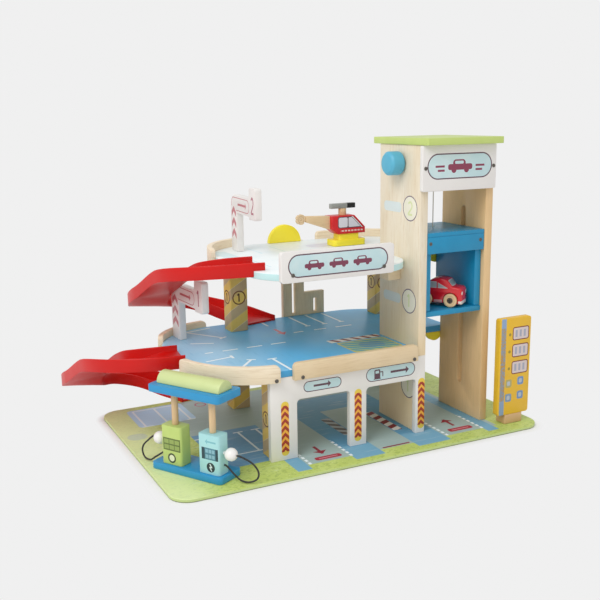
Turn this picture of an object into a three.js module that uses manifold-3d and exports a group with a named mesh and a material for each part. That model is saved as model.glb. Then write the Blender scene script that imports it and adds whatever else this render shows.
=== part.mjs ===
// Toy parking garage with a hand wound lift, two decks, two spiral ramps, a pump station,
// a price board, a toy car and a toy helicopter. Millimetres, +X right, +Y back, +Z up.
// The origin is the centre of the base board's underside.
import * as THREE from "three";
import { mergeVertices } from "three/addons/utils/BufferGeometryUtils.js";
import Module from "manifold-3d";

const wasm = await Module();
wasm.setup();

// Driving dimensions: the storeys and the clearances that every piece shares
const storeyHeight = 132;
const deckThickness = 10.5;
const boardThickness = 8.4;
const seatGap = 0.1;
const looseGap = 0.3;
const cutOverrun = 20;

// Base board
const baseWidth = 600;
const baseDepth = 385;
const baseThickness = 5.4;
const baseCornerRadius = 28;

// The plane of the building's front, and its depth back to the decks' rear edge
const frontPlane = -134.7;
const deckDepth = 292.1;
const deckRear = frontPlane + deckDepth;

// Lift tower
const towerLeft = 104.3;
const towerWidth = 130.7;
const towerDepth = 109.6;
const towerHeight = 431.9;
const panelThickness = 13;
const roofThickness = 9.9;
const roofSideOverhang = 2;
const roofFrontOverhang = 19.4;
const roofRearOverhang = 17.3;
const towerSignHeight = 65.9;
const towerSignThickness = 7.4;
const towerSignShift = -2;
const towerSignCornerRadius = 3;

// Facade under the first deck
const facadeLeft = -139.5;
const facadeThickness = 9.5;
const facadeLeftLegWidth = 41.3;
const facadeLeftOpeningWidth = 85.3;
const facadeMiddleLegWidth = 27.6;
const facadeRightOpeningWidth = 86.3;
const facadeOpeningHeight = 86.2;
const facadeOpeningRadius = 6;
const facadeRailStep = 15;

// Decks
const level1Left = -229.5;
const level1CornerRadius = 114.5;
const level2Left = -137;
const level2FrontCornerRadius = 70;
const level2RearCornerRadius = 100;
const level2TowerCornerRadius = 61;

// Rails round the decks
const railBelow = 15;
const railAbove = 10;
const level2RailAbove = 13;
const railEndRadius = 7;
const frontRightRailStart = -105.4;
const frontRightRailLength = 204.5;

// Columns and the panel and cleat that carry the second deck
const columnSide = 30;
const columnEdgeRadius = 2;
const leftColumnX = -85;
const leftColumnSetback = 42.4;
const rightColumnX = 185;
const rightColumnSetback = 48.4;
const frontPostX = -120.6;
const rearPanelLeft = 21.6;
const rearPanelWidth = 79.7;
const rearPanelTallWidth = 40.3;
const rearPanelStepHeight = 40;
const rearSlotWidth = 7;
const tallSlotInset = 16.8;
const shortSlotInset = 58.7;
const slotFloorHeight = 3.8;
const shortSlotHeight = 24.2;
const cleatWidth = 22;
const cleatDepth = 25;
const cleatHeight = 23;
const cleatSetback = 49.7;

// Signs, marker disc and landing tabs
const deckSignLeft = -123;
const deckSignWidth = 178;
const deckSignHeight = 42.7;
const deckSignDrop = 9.4;
const deckSignCornerRadius = 4;
const levelSignThickness = 11;
const levelSignPostWidth = 30;
const levelSignArmLength = 62;
const levelSignArmHeight = 28;
const levelSignHeight = 90;
const levelSignPlateWidth = 28;
const levelSignPlateHeight = 48;
const levelSignPlateRise = 16;
const levelSignCornerRadius = 20;
const levelSignPlateRadius = 4;
const level1SignX = -186;
const level2SignX = -79.5;
const level1SignTurn = 3.7;
const level2SignTurn = -4.9;
const levelSignSetback = 34.4;
const markerRadius = 30;
const markerX = 23;
const tabRadius = 14.5;
const tabX = 212;

// Spiral ramps: the same channel twice, its path a first bend, a straight and a second bend
const rampWidth = 62;
const rampWall = 3;
const rampHeight = 19.5;
const rampEndHeight = 9.5;
const rampFloor = 3;
const rampHang = 8.2;
const rampLip = 16;
const rampLipFloor = 3;
const rampBlendLength = 70;
const rampTaperLength = 70;
const rampEdgeChamfer = 1;
const rampFirstRadius = 95.3;
const rampFirstTurn = 74.5;
const rampBendsDepth = 222.6;
const rampSecondRadius = 99.5;
const rampSecondTurn = 177;
const rampStations = 54;
const rampDropShares = [0, 0.029, 0.127, 0.378, 0.62, 0.713, 0.83, 0.973, 1];
const upperRampStart = [-131.5, -49.2];
const upperRampHeading = 6;
const lowerRampStart = [-236.5, 0.5];
const lowerRampHeading = 7.1;

// Lift car, its guides and its winder
const liftSideClearance = 0.8;
const liftFrontInset = 0.7;
const liftRearInset = 1.7;
const liftHeight = 126.7;
const liftFloorThickness = 8;
const liftSideThickness = 11;
const liftRoofThickness = 6;
const liftHeaderDrop = 31;
const liftHeaderThickness = 6.2;
const liftFloorInset = 4.4;
const liftRestHeight = 53.6;
const pegRadius = 4.8;
const pegHeight = 55;
const grooveWidth = 12;
const grooveDepth = 5.5;
const grooveBottom = 48.6;
const grooveTopDrop = 97.3;
const shaftRadius = 6;
const shaftDrop = 27.3;
const shaftHoleClearance = 0.4;
const shaftSocketDepth = 8;
const knobRadius = 17.5;
const knobLength = 24;
const knobBevel = 3.5;
const stringRadius = 0.75;
const stringHoleRadius = 1.7;
const stringKnotRadius = 2.6;
const stringTurns = 5;
const stringPitch = 2.3;
const stringStepsPerTurn = 24;
const stringSides = 6;
const stringDropSteps = 10;

// Toy car
const carLength = 70;
const carBodyWidth = 30;
const carBodyBottom = 5;
const carHeight = 44;
const carBevel = 3.2;
const wheelRadius = 10.5;
const wheelWidth = 5.5;
const wheelEdge = 1;
const wheelHubRadius = 3.4;
const wheelDish = 0.9;
const wheelRimRadius = 7.4;
const wheelInset = 2.5;
const wheelGap = 0.7;
const wheelArchRadius = 12;
const axleRadius = 1.5;
const axleBoreRadius = 1.8;
const axleSlotWidth = 2.8;
const frontAxleFromNose = 17;
const wheelbase = 39;
const carX = 173;
const carY = -96;
const carTurn = -53;

// Pump station
const stationLeftOfDeck = 12.8;
const stationBehindFront = 24.5;
const stationTurn = 121.1;
const stationLength = 121;
const stationDepth = 46.6;
const stationThickness = 9.5;
const stationCornerRadius = 6;
const pumpLength = 35;
const pumpDepth = 22;
const pumpHeight = 55.5;
const pumpEdge = 4;
const pumpForward = 7.5;
const greenPumpOffset = 27;
const turquoisePumpOffset = 37.3;
const stationPostRadius = 4.6;
const stationPostHeight = 47;
const canopyLength = 121.5;
const canopyDepth = 53;
const canopyThickness = 10;
const canopyX = -1.5;
const canopyY = -0.5;
const canopyHumpRadius = 15;
const canopyHumpLength = 106;
const nozzleRadius = 9;
const nozzleHeight = 30.5;
const nozzlePegRadius = 2.2;
const nozzleStandOff = 3;
const hoseRadius = 1.25;
const hoseSides = 8;
const hoseSteps = 30;
const turquoiseHoseShares = {
  reach: 44.6,
  shares: [
    [0.65, 0.08, 0.93], [0.88, 0.24, 0.71], [1, 0.35, 0.38], [0.94, 0.34, 0.15],
    [0.74, 0.22, 0.05], [0.52, 0.12, 0.1], [0.3, 0.03, 0.34], [0, 0, 0.57],
  ],
};
const greenHoseShares = {
  reach: 46.1,
  shares: [
    [0.75, 0, 0.79], [0.95, 0, 0.56], [1, 0, 0.35], [0.91, 0, 0.12],
    [0.69, 0, 0.08], [0.46, 0, 0.25], [0, 0, 0.54],
  ],
};

// Price board
const totemRightOfTower = 26.5;
const totemBeforeFront = 23.3;
const totemShift = -2;
const totemWidth = 60;
const totemHeight = 154;
const totemThickness = 11;
const totemCornerRadius = 4;
const totemFootLength = 34;
const totemFootDepth = 22;
const totemFootHeight = 15;

// Helicopter
const heliX = 77;
const heliY = 74;
const heliTurn = 0;
const cabinLength = 63;
const cabinHeight = 30;
const cabinWidth = 26;
const cabinBevel = 1.5;
const cabinFrontShare = 0.825;
const cabinOutlineShares = [[0.19, 0], [1, 0], [1, 0.33], [0.683, 1], [0, 1], [0, 0.3]];
const pontoonLength = 60;
const pontoonWidth = 32;
const pontoonHeight = 10;
const pontoonShift = 22.5;
const pontoonNeckLength = 37;
const pontoonNeckWidth = 22;
const pontoonNeckHeight = 9.4;
const pontoonEdge = 2;
const pontoonCornerRadius = 7;
const mastRadius = 6.5;
const mastHeight = 11;
const mastShare = 0.42;
const mastPinRadius = 2;
const rotorLength = 46;
const rotorWidth = 9;
const rotorHeight = 8;
const boomLength = 42;
const boomRise = 2;
const boomRootHeight = 22;
const boomRootWidth = 14;
const boomTipHeight = 9.6;
const boomTipWidth = 10;
const tailRotorRadius = 8.5;
const tailRotorWidth = 4.5;
const tailNotchRadius = 1.5;
const tailNotches = 5;
const tailPinRadius = 1.6;
const tailTongueThickness = 2.4;
const tailTongueLap = 4;

// Levels and edges worked out from the sizes above
const groundTop = baseThickness;
const level1Top = groundTop + storeyHeight;
const level2Top = level1Top + storeyHeight;
const towerRight = towerLeft + towerWidth;
const towerBack = frontPlane + towerDepth;
const towerTop = groundTop + towerHeight;
const shaftInnerLeft = towerLeft + panelThickness;
const shaftInnerRight = towerRight - panelThickness;
const liftCentreX = (shaftInnerLeft + shaftInnerRight) / 2;
const liftFront = frontPlane + liftFrontInset;
const liftBack = towerBack - liftRearInset;
const liftCentreY = (liftFront + liftBack) / 2;
const liftFloorTop = level1Top + liftRestHeight;
const liftBottom = liftFloorTop - liftFloorThickness;
const winderZ = towerTop - shaftDrop;
const leftColumnY = deckRear - leftColumnSetback;
const rightColumnY = deckRear - rightColumnSetback;
const levelSignRearY = deckRear - levelSignSetback;
const rampStraight = deckDepth - rampBendsDepth;
const stationX = level1Left - stationLeftOfDeck;
const stationY = frontPlane + stationBehindFront;
const totemX = towerRight + totemRightOfTower;
const totemY = frontPlane - totemBeforeFront;

// Paint and wood
function paint(color, roughness, metalness = 0) {
  return new THREE.MeshStandardMaterial({ color, roughness, metalness });
}
const woodColor = 0xdfc7a0;
const grassColor = 0xb5cc6a;
const roadBlue = 0x5f9fc4;
const paleTurquoise = 0xcfe8ea;
const offWhite = 0xe6e2de;
const lime = 0xb4cf66;
const liftBlue = 0x2e86b4;
const knobBlue = 0x4aa3cf;
const rampRed = 0xdb281f;
const signYellow = 0xf0df34;
const totemYellow = 0xe2b32a;
const stationBlue = 0x3a93c4;
const pumpGreen = 0xb3c864;
const pumpTurquoise = 0x9fd2d4;
const carRed = 0xc4161f;
const black = 0x1c1c1c;
const grey = 0x9a9a96;
const steel = 0xb9bcc0;

// Booleans: a closed geometry becomes a solid, and a solid becomes a geometry again
function toSolid(geometry) {
  const bare = geometry.clone();
  bare.deleteAttribute("normal");
  bare.deleteAttribute("uv");
  const merged = mergeVertices(bare);
  const vertProperties = new Float32Array(merged.attributes.position.array);
  const triVerts = new Uint32Array(merged.index.array);
  return new wasm.Manifold(new wasm.Mesh({ numProp: 3, vertProperties, triVerts }));
}

function toGeometry(solid) {
  const mesh = solid.getMesh();
  const geometry = new THREE.BufferGeometry();
  geometry.setAttribute("position", new THREE.BufferAttribute(mesh.vertProperties, 3));
  geometry.setIndex(new THREE.BufferAttribute(mesh.triVerts, 1));
  geometry.computeVertexNormals();
  return geometry;
}

function cut(geometry, tools) {
  let solid = toSolid(geometry);
  for (const tool of tools) {
    solid = solid.subtract(toSolid(tool));
  }
  return toGeometry(solid);
}

function join(pieces) {
  let solid = toSolid(pieces[0]);
  for (const piece of pieces.slice(1)) {
    solid = solid.add(toSolid(piece));
  }
  return toGeometry(solid);
}

// Basic forms
function block(x0, x1, y0, y1, z0, z1) {
  const geometry = new THREE.BoxGeometry(x1 - x0, y1 - y0, z1 - z0);
  return geometry.translate((x0 + x1) / 2, (y0 + y1) / 2, (z0 + z1) / 2);
}

function rectangle(x0, x1, y0, y1, radius) {
  const shape = new THREE.Shape();
  shape.moveTo(x0 + radius, y0);
  shape.lineTo(x1 - radius, y0);
  shape.absarc(x1 - radius, y0 + radius, radius, -Math.PI / 2, 0);
  shape.lineTo(x1, y1 - radius);
  shape.absarc(x1 - radius, y1 - radius, radius, 0, Math.PI / 2);
  shape.lineTo(x0 + radius, y1);
  shape.absarc(x0 + radius, y1 - radius, radius, Math.PI / 2, Math.PI);
  shape.lineTo(x0, y0 + radius);
  shape.absarc(x0 + radius, y0 + radius, radius, Math.PI, Math.PI * 1.5);
  return shape;
}

function halfDisc(centreX, centreY, radius, upward) {
  const shape = new THREE.Shape();
  const from = upward ? 0 : Math.PI;
  shape.absarc(centreX, centreY, radius, from, from + Math.PI);
  shape.closePath();
  return shape;
}

function slab(shape, bottom, top, curveSegments) {
  const depth = top - bottom;
  const geometry = new THREE.ExtrudeGeometry(shape, { depth, bevelEnabled: false, curveSegments });
  return geometry.translate(0, 0, bottom);
}

// A board drawn in X and Z, standing from its front face back by its thickness
function frontBoard(shape, front, depth, curveSegments) {
  const geometry = new THREE.ExtrudeGeometry(shape, { depth, bevelEnabled: false, curveSegments });
  geometry.rotateX(Math.PI / 2);
  return geometry.translate(0, front + depth, 0);
}

// A board drawn in Y and Z, from its left face across by its thickness
function sideBoard(shape, left, depth, curveSegments) {
  const geometry = new THREE.ExtrudeGeometry(shape, { depth, bevelEnabled: false, curveSegments });
  geometry.rotateX(Math.PI / 2);
  geometry.rotateZ(Math.PI / 2);
  return geometry.translate(left, 0, 0);
}

function rodX(radius, x0, x1, y, z, sides) {
  const geometry = new THREE.CylinderGeometry(radius, radius, x1 - x0, sides);
  geometry.rotateZ(Math.PI / 2);
  return geometry.translate((x0 + x1) / 2, y, z);
}

function rodY(radius, y0, y1, x, z, sides) {
  const geometry = new THREE.CylinderGeometry(radius, radius, y1 - y0, sides);
  return geometry.translate(x, (y0 + y1) / 2, z);
}

function rodZ(radius, z0, z1, x, y, sides) {
  const geometry = new THREE.CylinderGeometry(radius, radius, z1 - z0, sides);
  geometry.rotateX(Math.PI / 2);
  return geometry.translate(x, y, (z0 + z1) / 2);
}

// A body of equal sections, each a closed ring of points, with its two ends closed flat
function loft(sections) {
  const ring = sections[0].length;
  const positions = [];
  for (const section of sections) {
    for (const point of section) {
      positions.push(point.x, point.y, point.z);
    }
  }
  const index = [];
  for (let row = 0; row + 1 < sections.length; row += 1) {
    for (let k = 0; k < ring; k += 1) {
      const a = row * ring + k;
      const b = row * ring + ((k + 1) % ring);
      index.push(a, b, b + ring, a, b + ring, a + ring);
    }
  }
  closeEnd(sections[0], 0, true, index);
  closeEnd(sections[sections.length - 1], (sections.length - 1) * ring, false, index);
  const geometry = new THREE.BufferGeometry();
  geometry.setAttribute("position", new THREE.BufferAttribute(new Float32Array(positions), 3));
  geometry.setIndex(enclosedVolume(positions, index) < 0 ? flipped(index) : index);
  geometry.computeVertexNormals();
  return geometry;
}

function closeEnd(section, offset, reverse, index) {
  const origin = section[0];
  const farCorner = section[Math.floor(section.length / 2)];
  const across = new THREE.Vector3().subVectors(farCorner, origin).setZ(0).normalize();
  const flat = section.map((point) => new THREE.Vector2(
    (point.x - origin.x) * across.x + (point.y - origin.y) * across.y,
    point.z - origin.z,
  ));
  const direction = Math.sign(THREE.ShapeUtils.area(flat));
  for (const [a, b, c] of THREE.ShapeUtils.triangulateShape(flat, [])) {
    const sameWay = Math.sign(THREE.ShapeUtils.area([flat[a], flat[b], flat[c]])) === direction;
    const [second, third] = sameWay === reverse ? [c, b] : [b, c];
    index.push(a + offset, second + offset, third + offset);
  }
}

function enclosedVolume(positions, index) {
  const corner = (i) => new THREE.Vector3().fromArray(positions, index[i] * 3);
  let volume = 0;
  for (let i = 0; i < index.length; i += 3) {
    volume += corner(i).dot(corner(i + 1).cross(corner(i + 2))) / 6;
  }
  return volume;
}

function flipped(index) {
  const turned = [];
  for (let i = 0; i < index.length; i += 3) {
    turned.push(index[i], index[i + 2], index[i + 1]);
  }
  return turned;
}

// The assembly
const garage = new THREE.Group();

function add(name, geometry, material, parent = garage) {
  const mesh = new THREE.Mesh(geometry, material);
  mesh.name = name;
  parent.add(mesh);
  return mesh;
}

function standing(x, y, z, turnDegrees) {
  const group = new THREE.Group();
  group.position.set(x, y, z);
  group.rotation.z = THREE.MathUtils.degToRad(turnDegrees);
  garage.add(group);
  return group;
}

// Base board
const cornerSteps = 10;
add("base_board", slab(
  rectangle(-baseWidth / 2, baseWidth / 2, -baseDepth / 2, baseDepth / 2, baseCornerRadius),
  0, baseThickness, cornerSteps,
), paint(grassColor, 0.6));

// Decks: an outline with rounded outer corners that stops at the tower's left panel
// and passes behind the tower, grown all round by a margin where it serves as a cutter
const deckSteps = 20;
function deckOutline(left, frontRadius, rearRadius, towerCorner, grow) {
  const frontEdge = frontPlane - grow;
  const rearEdge = deckRear + grow;
  const leftEdge = left - grow;
  const frontArc = frontRadius + grow;
  const rearArc = rearRadius + grow;
  const tower = towerLeft - seatGap;
  const behindTower = towerBack + seatGap;
  const rightArc = level1CornerRadius;
  const shape = new THREE.Shape();
  shape.moveTo(leftEdge + frontArc, frontEdge);
  shape.lineTo(tower - towerCorner, frontEdge);
  if (towerCorner > 0) {
    shape.absarc(tower - towerCorner, frontEdge + towerCorner, towerCorner, -Math.PI / 2, 0);
  }
  shape.lineTo(tower, behindTower);
  shape.lineTo(towerRight, behindTower);
  shape.lineTo(towerRight, rearEdge - rightArc);
  shape.absarc(towerRight - rightArc, rearEdge - rightArc, rightArc, 0, Math.PI / 2);
  shape.lineTo(leftEdge + rearArc, rearEdge);
  shape.absarc(leftEdge + rearArc, rearEdge - rearArc, rearArc, Math.PI / 2, Math.PI);
  shape.lineTo(leftEdge, frontEdge + frontArc);
  shape.absarc(leftEdge + frontArc, frontEdge + frontArc, frontArc, Math.PI, Math.PI * 1.5);
  return shape;
}

function level1Outline(grow) {
  return deckOutline(level1Left, level1CornerRadius, level1CornerRadius, 0, grow);
}

function level2Outline(grow) {
  return deckOutline(
    level2Left, level2FrontCornerRadius, level2RearCornerRadius, level2TowerCornerRadius, grow,
  );
}

add("level_1_deck", slab(level1Outline(0), level1Top - deckThickness, level1Top, deckSteps),
  paint(roadBlue, 0.5));
add("level_2_deck", slab(level2Outline(0), level2Top - deckThickness, level2Top, deckSteps),
  paint(paleTurquoise, 0.5));

// Facade: a comb of three legs under the first deck, flush with the tower's front
function facadeGeometry() {
  const right = shaftInnerLeft;
  const bottom = groundTop + seatGap;
  const top = level1Top - deckThickness - seatGap;
  const openingTop = groundTop + facadeOpeningHeight;
  const shape = new THREE.Shape();
  const railBottom = level1Top - railBelow - looseGap;
  shape.moveTo(facadeLeft + facadeRailStep, top);
  shape.lineTo(facadeLeft + facadeRailStep, railBottom);
  shape.lineTo(facadeLeft, railBottom);
  shape.lineTo(facadeLeft, bottom);
  let x = facadeLeft;
  const bays = [
    [facadeLeftLegWidth, facadeLeftOpeningWidth],
    [facadeMiddleLegWidth, facadeRightOpeningWidth],
  ];
  for (const [leg, opening] of bays) {
    x += leg;
    shape.lineTo(x, bottom);
    shape.lineTo(x, openingTop - facadeOpeningRadius);
    shape.absarc(x + facadeOpeningRadius, openingTop - facadeOpeningRadius, facadeOpeningRadius,
      Math.PI, Math.PI / 2, true);
    x += opening;
    shape.lineTo(x - facadeOpeningRadius, openingTop);
    shape.absarc(x - facadeOpeningRadius, openingTop - facadeOpeningRadius, facadeOpeningRadius,
      Math.PI / 2, 0, true);
    shape.lineTo(x, bottom);
  }
  shape.lineTo(right, bottom);
  shape.lineTo(right, top);
  return frontBoard(shape, frontPlane, facadeThickness, 4);
}
add("facade", facadeGeometry(), paint(offWhite, 0.5));

// Tower panels: a guide groove inside each, a hole or a socket for the winding shaft,
// and a notch in the left one for the facade's right leg
const roundSides = 24;
function grooveTool(left, right) {
  const bottom = groundTop + grooveBottom;
  const top = towerTop - grooveTopDrop;
  const half = grooveWidth / 2;
  const outline = rectangle(liftCentreY - half, liftCentreY + half, bottom, top, half);
  return sideBoard(outline, left, right - left, 6);
}

function leftPanel() {
  const body = block(towerLeft, shaftInnerLeft, frontPlane, towerBack,
    groundTop + seatGap, towerTop - seatGap);
  const notch = block(
    towerLeft - cutOverrun, shaftInnerLeft + cutOverrun,
    frontPlane - cutOverrun, frontPlane + facadeThickness + seatGap,
    groundTop - cutOverrun, level1Top - deckThickness,
  );
  const hole = rodX(shaftRadius + shaftHoleClearance, towerLeft - cutOverrun, shaftInnerLeft + cutOverrun,
    liftCentreY, winderZ, roundSides);
  return cut(body, [notch, hole, grooveTool(shaftInnerLeft - grooveDepth, shaftInnerLeft + cutOverrun)]);
}

function rightPanel() {
  const body = block(shaftInnerRight, towerRight, frontPlane, towerBack,
    groundTop + seatGap, towerTop - seatGap);
  const socket = rodX(shaftRadius + shaftHoleClearance, shaftInnerRight - cutOverrun,
    shaftInnerRight + shaftSocketDepth, liftCentreY, winderZ, roundSides);
  return cut(body, [socket, grooveTool(shaftInnerRight - cutOverrun, shaftInnerRight + grooveDepth)]);
}
add("tower_left_panel", leftPanel(), paint(woodColor, 0.55));
add("tower_right_panel", rightPanel(), paint(woodColor, 0.55));

add("tower_roof", slab(rectangle(
  towerLeft - roofSideOverhang, towerRight + roofSideOverhang,
  frontPlane - roofFrontOverhang, towerBack + roofRearOverhang, roofSideOverhang,
), towerTop, towerTop + roofThickness, 4), paint(lime, 0.5));

add("tower_sign_board", frontBoard(rectangle(
  towerLeft + towerSignShift, towerRight + towerSignShift,
  towerTop - seatGap - towerSignHeight, towerTop - seatGap, towerSignCornerRadius,
), frontPlane - seatGap - towerSignThickness, towerSignThickness, 4), paint(offWhite, 0.5));

// Rails: a board bent round a deck's edge, its upper corners rounded at both ends.
// The path is a list of stations, each with the deck edge's point and its outward normal.
const railSteps = 22;
const railEndSteps = 4;
function arcStations(centreX, centreY, radius, fromDegrees, toDegrees) {
  const stations = [];
  for (let k = 0; k <= railSteps; k += 1) {
    const angle = THREE.MathUtils.degToRad(fromDegrees + ((toDegrees - fromDegrees) * k) / railSteps);
    const normal = new THREE.Vector2(Math.cos(angle), Math.sin(angle));
    const point = normal.clone().multiplyScalar(radius).add(new THREE.Vector2(centreX, centreY));
    stations.push({ point, normal });
  }
  return stations;
}

function stationAt(stations, distance) {
  let left = distance;
  for (let k = 0; k + 1 < stations.length; k += 1) {
    const step = stations[k].point.distanceTo(stations[k + 1].point);
    if (left <= step) {
      const share = step > 0 ? left / step : 0;
      return {
        point: stations[k].point.clone().lerp(stations[k + 1].point, share),
        normal: stations[k].normal.clone().lerp(stations[k + 1].normal, share).normalize(),
      };
    }
    left -= step;
  }
  return stations[stations.length - 1];
}

function rail(stations, bottom, top) {
  let length = 0;
  for (let k = 0; k + 1 < stations.length; k += 1) {
    length += stations[k].point.distanceTo(stations[k + 1].point);
  }
  const distances = [];
  for (let k = 0; k <= railEndSteps; k += 1) {
    distances.push(railEndRadius * (1 - Math.cos((Math.PI / 2) * (k / railEndSteps))));
  }
  const middle = length - 2 * railEndRadius;
  for (let k = 1; k < railSteps; k += 1) {
    distances.push(railEndRadius + (middle * k) / railSteps);
  }
  const sections = [];
  const all = [...distances, ...distances.slice(0, railEndSteps + 1).reverse().map((d) => length - d)];
  for (const distance of all) {
    const { point, normal } = stationAt(stations, distance);
    const fromEnd = Math.min(distance, length - distance, railEndRadius);
    const rise = Math.sqrt(railEndRadius ** 2 - (railEndRadius - fromEnd) ** 2);
    const cornerTop = top - railEndRadius + rise;
    const inner = point.clone().addScaledVector(normal, looseGap);
    const outer = point.clone().addScaledVector(normal, looseGap + boardThickness);
    sections.push([
      new THREE.Vector3(inner.x, inner.y, bottom),
      new THREE.Vector3(outer.x, outer.y, bottom),
      new THREE.Vector3(outer.x, outer.y, cornerTop),
      new THREE.Vector3(inner.x, inner.y, cornerTop),
    ]);
  }
  return loft(sections);
}

const level1LeftCentre = level1Left + level1CornerRadius;
const frontCentreY = frontPlane + level1CornerRadius;
const rearCentreY = deckRear - level1CornerRadius;
const frontLeftRailAngles = [188.6, 264.7];
const rearLeftRailAngles = [93.4, 151.8];
const level2LeftRailAngles = [103, 177];
const level2RearRailAngles = [90, 12];
const level2RearRailLead = 32;
const frontLeftRail = arcStations(
  level1LeftCentre, frontCentreY, level1CornerRadius, ...frontLeftRailAngles,
);
const rearLeftRail = arcStations(
  level1LeftCentre, rearCentreY, level1CornerRadius, ...rearLeftRailAngles,
);
const level2LeftRail = arcStations(
  level2Left + level2RearCornerRadius, deckRear - level2RearCornerRadius,
  level2RearCornerRadius, ...level2LeftRailAngles,
);
const rails = [
  ["level_1_front_left_rail", frontLeftRail, level1Top, railAbove],
  ["level_1_rear_left_rail", rearLeftRail, level1Top, railAbove],
  ["level_2_left_rail", level2LeftRail, level2Top, level2RailAbove],
];
const rearRail = arcStations(
  towerRight - level1CornerRadius, rearCentreY, level1CornerRadius, ...level2RearRailAngles,
);
rearRail.unshift({
  point: rearRail[0].point.clone().setX(rearRail[0].point.x - level2RearRailLead),
  normal: rearRail[0].normal.clone(),
});
rails.push(["level_2_rear_rail", rearRail, level2Top, level2RailAbove]);
for (const [name, stations, deckTop, above] of rails) {
  add(name, rail(stations, deckTop - railBelow, deckTop + above), paint(woodColor, 0.6));
}

function straightRail() {
  const x0 = frontRightRailStart;
  const x1 = x0 + frontRightRailLength;
  const z0 = level1Top - railBelow;
  const z1 = level1Top + railAbove;
  const shape = new THREE.Shape();
  shape.moveTo(x0, z0);
  shape.lineTo(x1, z0);
  shape.lineTo(x1, z1 - railEndRadius);
  shape.absarc(x1 - railEndRadius, z1 - railEndRadius, railEndRadius, 0, Math.PI / 2);
  shape.lineTo(x0 + railEndRadius, z1);
  shape.absarc(x0 + railEndRadius, z1 - railEndRadius, railEndRadius, Math.PI / 2, Math.PI);
  return frontBoard(shape, frontPlane - seatGap - boardThickness, boardThickness, 4);
}
add("level_1_front_right_rail", straightRail(), paint(woodColor, 0.6));

// Columns, square with softened edges
function column(x, y, bottom, top) {
  const half = columnSide / 2;
  const outline = rectangle(x - half, x + half, y - half, y + half, columnEdgeRadius);
  return slab(outline, bottom + seatGap, top - seatGap, 3);
}
const level1Underside = level1Top - deckThickness;
const level2Underside = level2Top - deckThickness;
const frontPostY = frontPlane + facadeThickness + seatGap + columnSide / 2;
const columns = [
  ["ground_front_column", frontPostX, frontPostY, groundTop, level1Underside],
  ["ground_left_column", leftColumnX, leftColumnY, groundTop, level1Underside],
  ["ground_right_column", rightColumnX, rightColumnY, groundTop, level1Underside],
  ["level_1_left_column", leftColumnX, leftColumnY, level1Top, level2Underside],
  ["level_1_right_column", rightColumnX, rightColumnY, level1Top, level2Underside],
];
for (const [name, x, y, bottom, top] of columns) {
  add(name, column(x, y, bottom, top), paint(woodColor, 0.6));
}

// Slotted panel behind the decks, stepped down at its right
function rearPanelGeometry() {
  const left = rearPanelLeft;
  const right = left + rearPanelWidth;
  const shoulder = left + rearPanelTallWidth;
  const bottom = level1Underside;
  const step = level1Top + rearPanelStepHeight;
  const slotFloor = level1Top + slotFloorHeight;
  const shape = new THREE.Shape();
  shape.moveTo(left, bottom);
  shape.lineTo(right, bottom);
  shape.lineTo(right, step);
  shape.lineTo(shoulder, step);
  shape.lineTo(shoulder, level2Top);
  shape.lineTo(left + tallSlotInset + rearSlotWidth, level2Top);
  shape.lineTo(left + tallSlotInset + rearSlotWidth, slotFloor);
  shape.lineTo(left + tallSlotInset, slotFloor);
  shape.lineTo(left + tallSlotInset, level2Top);
  shape.lineTo(left, level2Top);
  const slot = rectangle(left + shortSlotInset, left + shortSlotInset + rearSlotWidth - seatGap,
    slotFloor, slotFloor + shortSlotHeight, rearSlotWidth / 4);
  shape.holes.push(slot);
  return frontBoard(shape, deckRear + seatGap, boardThickness, 3);
}
add("rear_support_panel", rearPanelGeometry(), paint(woodColor, 0.6));

add("deck_support_cleat", block(
  towerLeft - seatGap - cleatWidth, towerLeft - seatGap,
  frontPlane + cleatSetback, frontPlane + cleatSetback + cleatDepth,
  level2Underside - seatGap - cleatHeight, level2Underside - seatGap,
), paint(woodColor, 0.6));

add("level_2_sign_board", frontBoard(rectangle(
  deckSignLeft, deckSignLeft + deckSignWidth,
  level2Top - deckSignDrop, level2Top - deckSignDrop + deckSignHeight, deckSignCornerRadius,
), frontPlane - seatGap - boardThickness, boardThickness, 4), paint(offWhite, 0.5));

// Marker disc on the second deck's rear edge and tabs that guide a car into the lift
add("rear_marker_disc", frontBoard(
  halfDisc(markerX, level2Top + seatGap, markerRadius, true),
  deckRear - boardThickness, boardThickness, roundSides,
), paint(signYellow, 0.45));
const tabs = [["level_1_landing_tab", level1Underside], ["level_2_landing_tab", level2Underside]];
for (const [name, underside] of tabs) {
  add(name, frontBoard(
    halfDisc(tabX, underside - seatGap, tabRadius, false), towerBack + seatGap, boardThickness, roundSides,
  ), paint(signYellow, 0.45));
}

// Level signs: one flat board each, a post with an arm that carries a number plate
function levelSign() {
  const armBottom = levelSignHeight - levelSignArmHeight;
  const plateTop = levelSignHeight + levelSignPlateRise;
  const plateBottom = plateTop - levelSignPlateHeight;
  const post = -levelSignPostWidth;
  const arm = post - levelSignArmLength;
  const plate = arm - levelSignPlateWidth;
  const r = levelSignPlateRadius;
  const shoulder = levelSignCornerRadius;
  const shape = new THREE.Shape();
  shape.moveTo(0, 0);
  shape.lineTo(0, levelSignHeight - shoulder);
  shape.absarc(-shoulder, levelSignHeight - shoulder, shoulder, 0, Math.PI / 2);
  shape.lineTo(arm, levelSignHeight);
  shape.lineTo(arm, plateTop - r);
  shape.absarc(arm - r, plateTop - r, r, 0, Math.PI / 2);
  shape.lineTo(plate + r, plateTop);
  shape.absarc(plate + r, plateTop - r, r, Math.PI / 2, Math.PI);
  shape.lineTo(plate, plateBottom + r);
  shape.absarc(plate + r, plateBottom + r, r, Math.PI, Math.PI * 1.5);
  shape.lineTo(arm, plateBottom);
  shape.lineTo(arm, armBottom);
  shape.lineTo(post, armBottom);
  shape.lineTo(post, 0);
  return sideBoard(shape, -levelSignThickness / 2, levelSignThickness, 6);
}
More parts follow.
